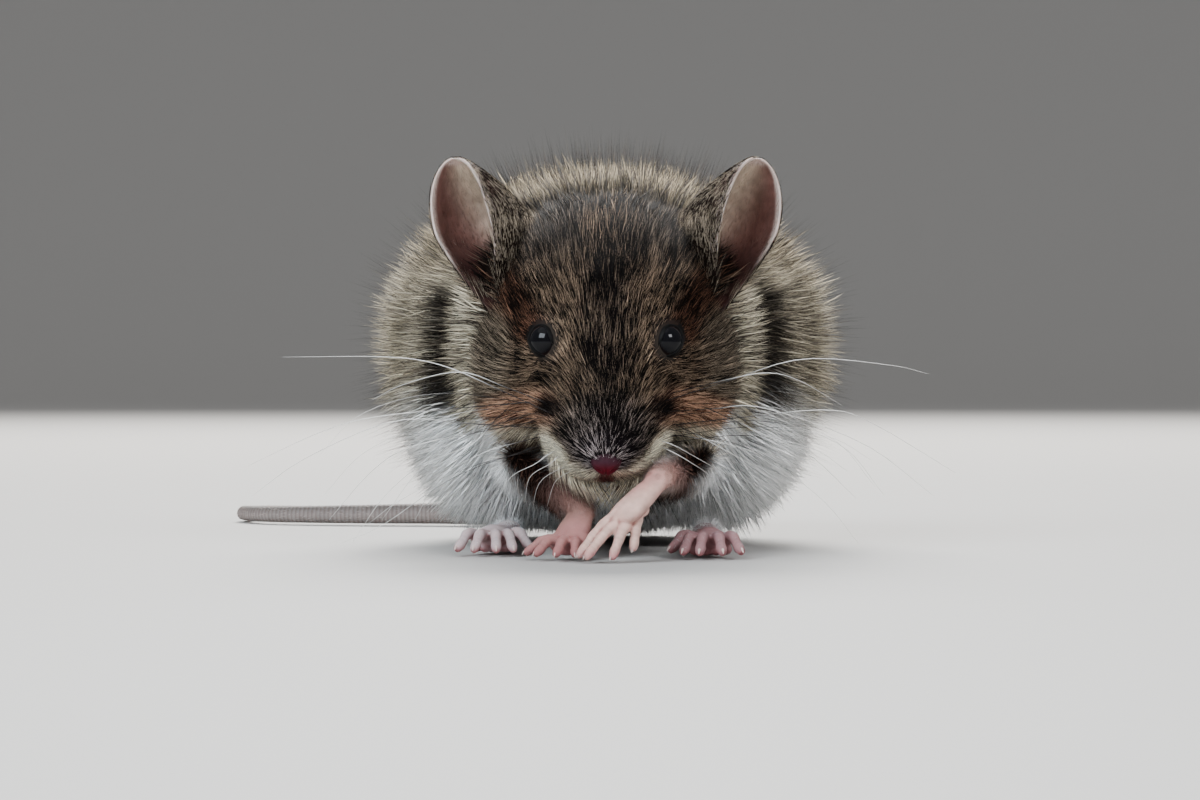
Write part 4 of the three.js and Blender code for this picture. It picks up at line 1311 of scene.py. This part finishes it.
for name, side in SIDES.items():
    paw = FOREPAWS[side]
    along = unit(np.array(paw["palm"]) - np.array(paw["arm"][1]))
    wrist = np.array(paw["wrist"]) @ along
    comb(paws[side], along, paw["arm"][2][0], 4)
    roots = scatter(paws[side], lambda p: 30 + 26 * step(wrist + 1.2, wrist - 1.0, p @ along))
    n = len(roots)
    before = step(wrist + 1.5, wrist - 3.5, roots.points @ along)
    elbow = elbow_share(roots.points, side, 8.0)
    length = mix(0.5, 1.6, before) * mix(1, 1.7, elbow) * rng.uniform(0.7, 1.2, n)
    spine = tufts(roots, length, mix(0.2, 0.55, before), 0.3)
    width = mix(0.032, 0.075, before) * rng.uniform(0.8, 1.2, n)
    shade = rng.uniform(0.45, 1.15, (n, 1))
    # Painted shade: the right arm's hair is dimmed to 0.45, and the hair higher up the arm tinted dark
    # red-brown, in part painted shade from the head above.
    tip = np.array([0.86, 0.76, 0.70]) * shade * (1.0 if side > 0 else 0.45)
    upper_red_and_shade = 0.8 * step(4.6, 6.8, roots.points[:, 2] + (0 if side > 0 else 2))
    tip = tint(tip, (0.34, 0.17, 0.14), upper_red_and_shade)
    chest = coat_tones(as_chest(0.35 * spine[1] + 0.65 * spine[2]))
    tones = mix(graded(tip, 0.6, 0.85), chest, elbow[:, None, None])
    coat(f"foreleg_hair_{name}", roots, spine, width, tones, [f"fore_leg_{name}", f"forepaw_{name}"])

    heel, centre = foot_place(side, 0, -SOLE, 1.2), foot_place(side, 0, 0, 1.2)
    along = unit(centre - heel)
    comb(feet[side], along, centre[0], 1.2)
    roots = scatter(feet[side], lambda p: 26 * step(0.7, 1.2, p[:, 2]))
    roots = roots.pick(roots.normals[:, 2] > 0.1)
    n = len(roots)
    behind = step(-2, -9, (roots.points - centre) @ along)
    spine = tufts(roots, mix(0.45, 1.5, behind) * rng.uniform(0.7, 1.2, n), 0.22, 0.1)
    tip = np.array([0.88, 0.88, 0.88]) * rng.uniform(0.7, 1.1, (n, 1))
    width = rng.uniform(0.04, 0.08, n)
    coat(f"foot_hair_{name}", roots, spine, width, graded(tip, 0.7, 0.9), [f"hind_foot_{name}"])

roots = scatter(tail, lambda p: 9 + 14 * step(64, 56, p[:, 1]))
roots = roots.pick(roots.points[:, 2] > 0.12)
n = len(roots)
spine = tufts(roots, rng.uniform(0.5, 0.9, n), 0.3, 0.05)
tip = np.where(rng.random((n, 1)) < 0.6, np.array([0.62, 0.55, 0.50]), np.array([0.12, 0.09, 0.08]))
coat("tail_hair", roots, spine, rng.uniform(0.035, 0.05, n), graded(tip, 0.8, 0.9), TAIL_NODES)

# ---- Whiskers

FOCAL = 3750.0
CAMERA = np.array([-0.24, -300.0, 16.0])
MIDLINE, HORIZON = 603, 361


def seen_at(px, py, y):
    """The point that shows at a place of the 1200 by 800 picture, at a depth y."""
    scale = FOCAL / (y - CAMERA[1])
    return np.array([(px - MIDLINE) / scale, y, CAMERA[2] + (HORIZON - py) / scale])


# Three places in the picture that each of the long whiskers passes.
WHISKERS = [
    [(441, 366), (386, 357), (280, 357)],
    [(457, 372), (402, 384), (369, 400)],
    [(366, 418), (313, 434), (245, 466)],
    [(392, 421), (303, 458), (249, 496)],
    [(408, 447), (369, 471), (326, 520)],
    [(469, 444), (419, 468), (379, 520)],
    [(480, 453), (436, 479), (412, 520)],
    [(800, 359), (886, 365), (926, 374)],
    [(760, 373), (795, 380), (840, 406)],
    [(824, 410), (869, 423), (953, 473)],
    [(761, 408), (861, 444), (931, 496)],
    [(768, 438), (808, 456), (854, 499)],
    [(720, 443), (753, 453), (775, 464)],
    [(720, 449), (766, 476), (790, 500)],
    [(532, 464), (505, 480), (490, 517)],
    [(547, 464), (527, 477), (522, 502)],
    [(562, 466), (537, 482), (529, 512)],
    [(566, 472), (552, 482), (544, 507)],
    [(652, 464), (670, 480), (680, 520)],
    [(687, 462), (707, 476), (732, 504)],
    [(680, 450), (712, 468), (742, 484)],
]
LIP_REACH = 100  # whiskers that start nearer the midline than this, in the picture, stand on the lip
PICTURE_SCALE = 12  # about how many of the picture's points make a millimetre at the muzzle
WHISKER_DEPTHS = [(3.0, 0.25), (4.5, 0.3), (6.5, 0.35)]  # y at the midline, and how it grows outwards
WHISKER_SIDES = 5
WHISKER_NODES = [f"whisker_{name}_{k}" for name in SIDES for k in (1, 2, 3)]


def pad_root(side, row, column):
    """A place on the whisker pad: rows from the top down, columns from the front back."""
    aim = head_at(side * (2.9 + 0.75 * column), 12.6 - 1.5 * column - 0.2 * row, 0.9 - 0.75 * row)
    return skin_point(head_at(0, 10, 0), aim)


whisker_shapes, whisker_tones = [], []


def add_whisker(points, radius, dark_until):
    """A tapering whisker, dark from its root to about a share of its length and pale beyond."""
    places = np.linspace(0, 1, 18)
    grid = tube_grid(spline(points, places), radius * (1 - places) ** 0.7 + 0.008, WHISKER_SIDES, ends=2)
    place = np.repeat(np.clip(np.linspace(-0.05, 1.05, len(grid)), 0, 1), WHISKER_SIDES + 1)
    pale = step(dark_until * 0.7, dark_until * 1.2 + 0.02, place)
    whisker_shapes.append(grid_shape(grid, outwards=False))
    whisker_tones.append(tint((0.012, 0.008, 0.007), (0.80, 0.79, 0.76), pale))


for k, places in enumerate(WHISKERS):
    side = -1 if places[0][0] < MIDLINE else 1
    line = []
    for (px, py), (nearest, slope) in zip(places, WHISKER_DEPTHS):
        line.append(seen_at(px, py, nearest + slope * abs(px - MIDLINE) / PICTURE_SCALE))
    from_lip = abs(places[0][0] - MIDLINE) < LIP_REACH
    row = min(3, max(0, (places[0][1] - 360) / 28))
    root = skin_point(head_at(0, 10, -0.5), line[0]) if from_lip else pad_root(side, row, 1 + k % 3)
    line = [root, mix(root, line[0], 0.5) + [0, -0.6, 0.1], *line]
    add_whisker(line, *((0.026, 0.15) if from_lip else (0.038, 0.38)))

for side in (-1, 1):
    for _ in range(6):
        root = pad_root(side, rng.uniform(0, 4), rng.uniform(0, 3))
        size = rng.uniform(11, 20)
        out = unit(np.array([side, rng.uniform(-0.15, 0.25), rng.uniform(-0.42, 0.12)]))
        drop = np.array([0, 0.06, -rng.uniform(0.04, 0.14)]) * size
        far = root + out * size + 3 * drop
        far[2] = max(far[2], 1.0)
        line = [root, root + out * size * 0.45 + [0, -0.5, 0.3], root + out * size * 0.8 + drop, far]
        add_whisker(line, rng.uniform(0.014, 0.024), 0.5)
    for _ in range(9):
        row, column = rng.uniform(0, 4), rng.uniform(-1, 3)
        root = pad_root(side, row, column)
        size = rng.uniform(3.0, 7.0) * mix(0.6, 1.25, column / 3)
        drop = mix(0.15, 1.0, row / 4)
        out = unit(np.array([side * rng.uniform(0.7, 1.2), rng.uniform(-0.25, 0.25), -0.35 * drop]))
        bend = unit(np.array([side * 0.6, 0.15, -0.9 * drop]))
        line = [root, root + out * size * 0.5, root + out * size * 0.8 + bend * size * 0.3]
        add_whisker(line, rng.uniform(0.006, 0.012), 2.5)
for _ in range(12):
    aim = head_at(rng.uniform(-2.6, 2.6), rng.uniform(8.5, 13.5), -6)
    root = skin_point(head_at(0, 11, -1), aim)
    outer = np.sign(root[0])
    size = rng.uniform(1.6, 3.6)
    out = unit(np.array([outer * 0.5 + rng.normal(0, 0.15), rng.uniform(-0.3, 0.2), -1.0]))
    line = [root, root + out * size * 0.5, root + out * size + np.array([outer * 0.3, 0.2, 0])]
    add_whisker(line, 0.014, 0.05)

whole = joined(whisker_shapes)
piece("whiskers", whole.points, whole.tris, np.vstack(whisker_tones), HORN, "whisker", WHISKER_NODES)

# ---- Claws


def claw(tip, heading, length=0.75, radius=0.16):
    tip, heading = np.array(tip, float), unit(heading)
    down = np.array([0, 0, -1.0])
    base = tip - heading * 0.1 + np.array([0, 0, 0.16])
    points = [base, base + heading * length * 0.5 + down * 0.02, base + heading * length * 0.85 + down * 0.3]
    points = [np.array([x, y, max(z, FLOOR_CLEARANCE)]) for x, y, z in points]
    return tube(points, [radius, radius * 0.7, 0.03], rings=8, sides=8)


claws = []
for side in SIDES.values():
    for root, tip in TOES:
        end = foot_place(side, *tip, 0.52)
        claws.append(claw(end, end - foot_place(side, *root, 0.52)))
    for knuckle, tip in zip(FOREPAWS[side]["knuckles"], FOREPAWS[side]["tips"]):
        heading = (np.array(tip) - np.array(knuckle)) * np.array([1, 1, 0.3])
        claws.append(claw(tip, heading, length=0.6, radius=0.12))
whole = joined(claws)
claw_nodes = [f"{foot}_{name}" for foot in ("hind_foot", "forepaw") for name in SIDES]
piece("claws", whole.points, whole.tris, (0.60, 0.46, 0.42), HORN, "claw", claw_nodes)

# ---- Floor, light and camera


def floor():
    """A plain pale floor that curves up into a backdrop far behind."""
    bend = [(1.2 + 0.8 * math.sin(t), 0.8 * (1 - math.cos(t))) for t in np.linspace(0, math.pi / 2, 13)]
    profile = [(-1.2, 0.0)] + bend + [(2.0, 2.6)]
    points = [(x, y, z - 0.0002) for y, z in profile for x in (-2.2, 2.2)]
    faces = [(2 * k, 2 * k + 1, 2 * k + 3, 2 * k + 2) for k in range(len(profile) - 1)]
    mesh = bpy.data.meshes.new("floor")
    mesh.from_pydata(points, [], faces)
    mesh.polygons.foreach_set("use_smooth", [True] * len(faces))
    mesh.materials.append(principled("floor", Roughness=0.7, Base_Color=(0.44, 0.425, 0.41, 1))[0])
    placed("floor", mesh)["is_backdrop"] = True


def aimed(made, direction):
    made.rotation_euler = Vector(direction).to_track_quat("-Z", "Y").to_euler()


def area_light(name, place, aim, size, watts, colour):
    data = bpy.data.lights.new(name, "AREA")
    data.shape = "RECTANGLE"
    data.size, data.size_y = size
    data.energy = watts
    data.color = colour
    made = placed(name, data)
    made.location = place
    aimed(made, Vector(aim) - Vector(place))


def studio():
    world = bpy.data.worlds.new("studio")
    world.use_nodes = True
    background = world.node_tree.nodes["Background"]
    background.inputs["Color"].default_value = (0.86, 0.88, 0.90, 1)
    background.inputs["Strength"].default_value = 0.30
    bpy.context.scene.world = world
    sun = bpy.data.lights.new("sky", "SUN")
    sun.energy = 0.5
    sun.angle = math.radians(60)
    aimed(placed("sky", sun), (0.25, 0.15, -0.95))
    area_light("key", (-0.24, -0.36, 0.30), (0, -0.03, 0.02), (0.30, 0.24), 3.6, (0.84, 0.93, 1.0))
    area_light("fill", (0.27, -0.36, 0.29), (0, -0.03, 0.02), (0.16, 0.14), 1.6, (0.95, 0.97, 1.0))
    for side in (-1, 1):
        place = (0.10 * side, 0.55, 0.46)
        area_light(f"rim_{side + 1}", place, (0, 0.0, 0.015), (0.26, 0.30), 6.0, (1.0, 0.99, 0.96))


def camera():
    data = bpy.data.cameras.new("camera")
    data.sensor_width = 36
    data.lens = data.sensor_width * FOCAL / 1200
    made = placed("camera", data)
    made.location = to_frame(CAMERA)
    made.rotation_euler = (math.pi / 2 - math.atan(39 / FOCAL), 0, math.atan(3 / FOCAL))
    bpy.context.scene.camera = made


floor()
studio()
camera()

low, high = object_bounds()
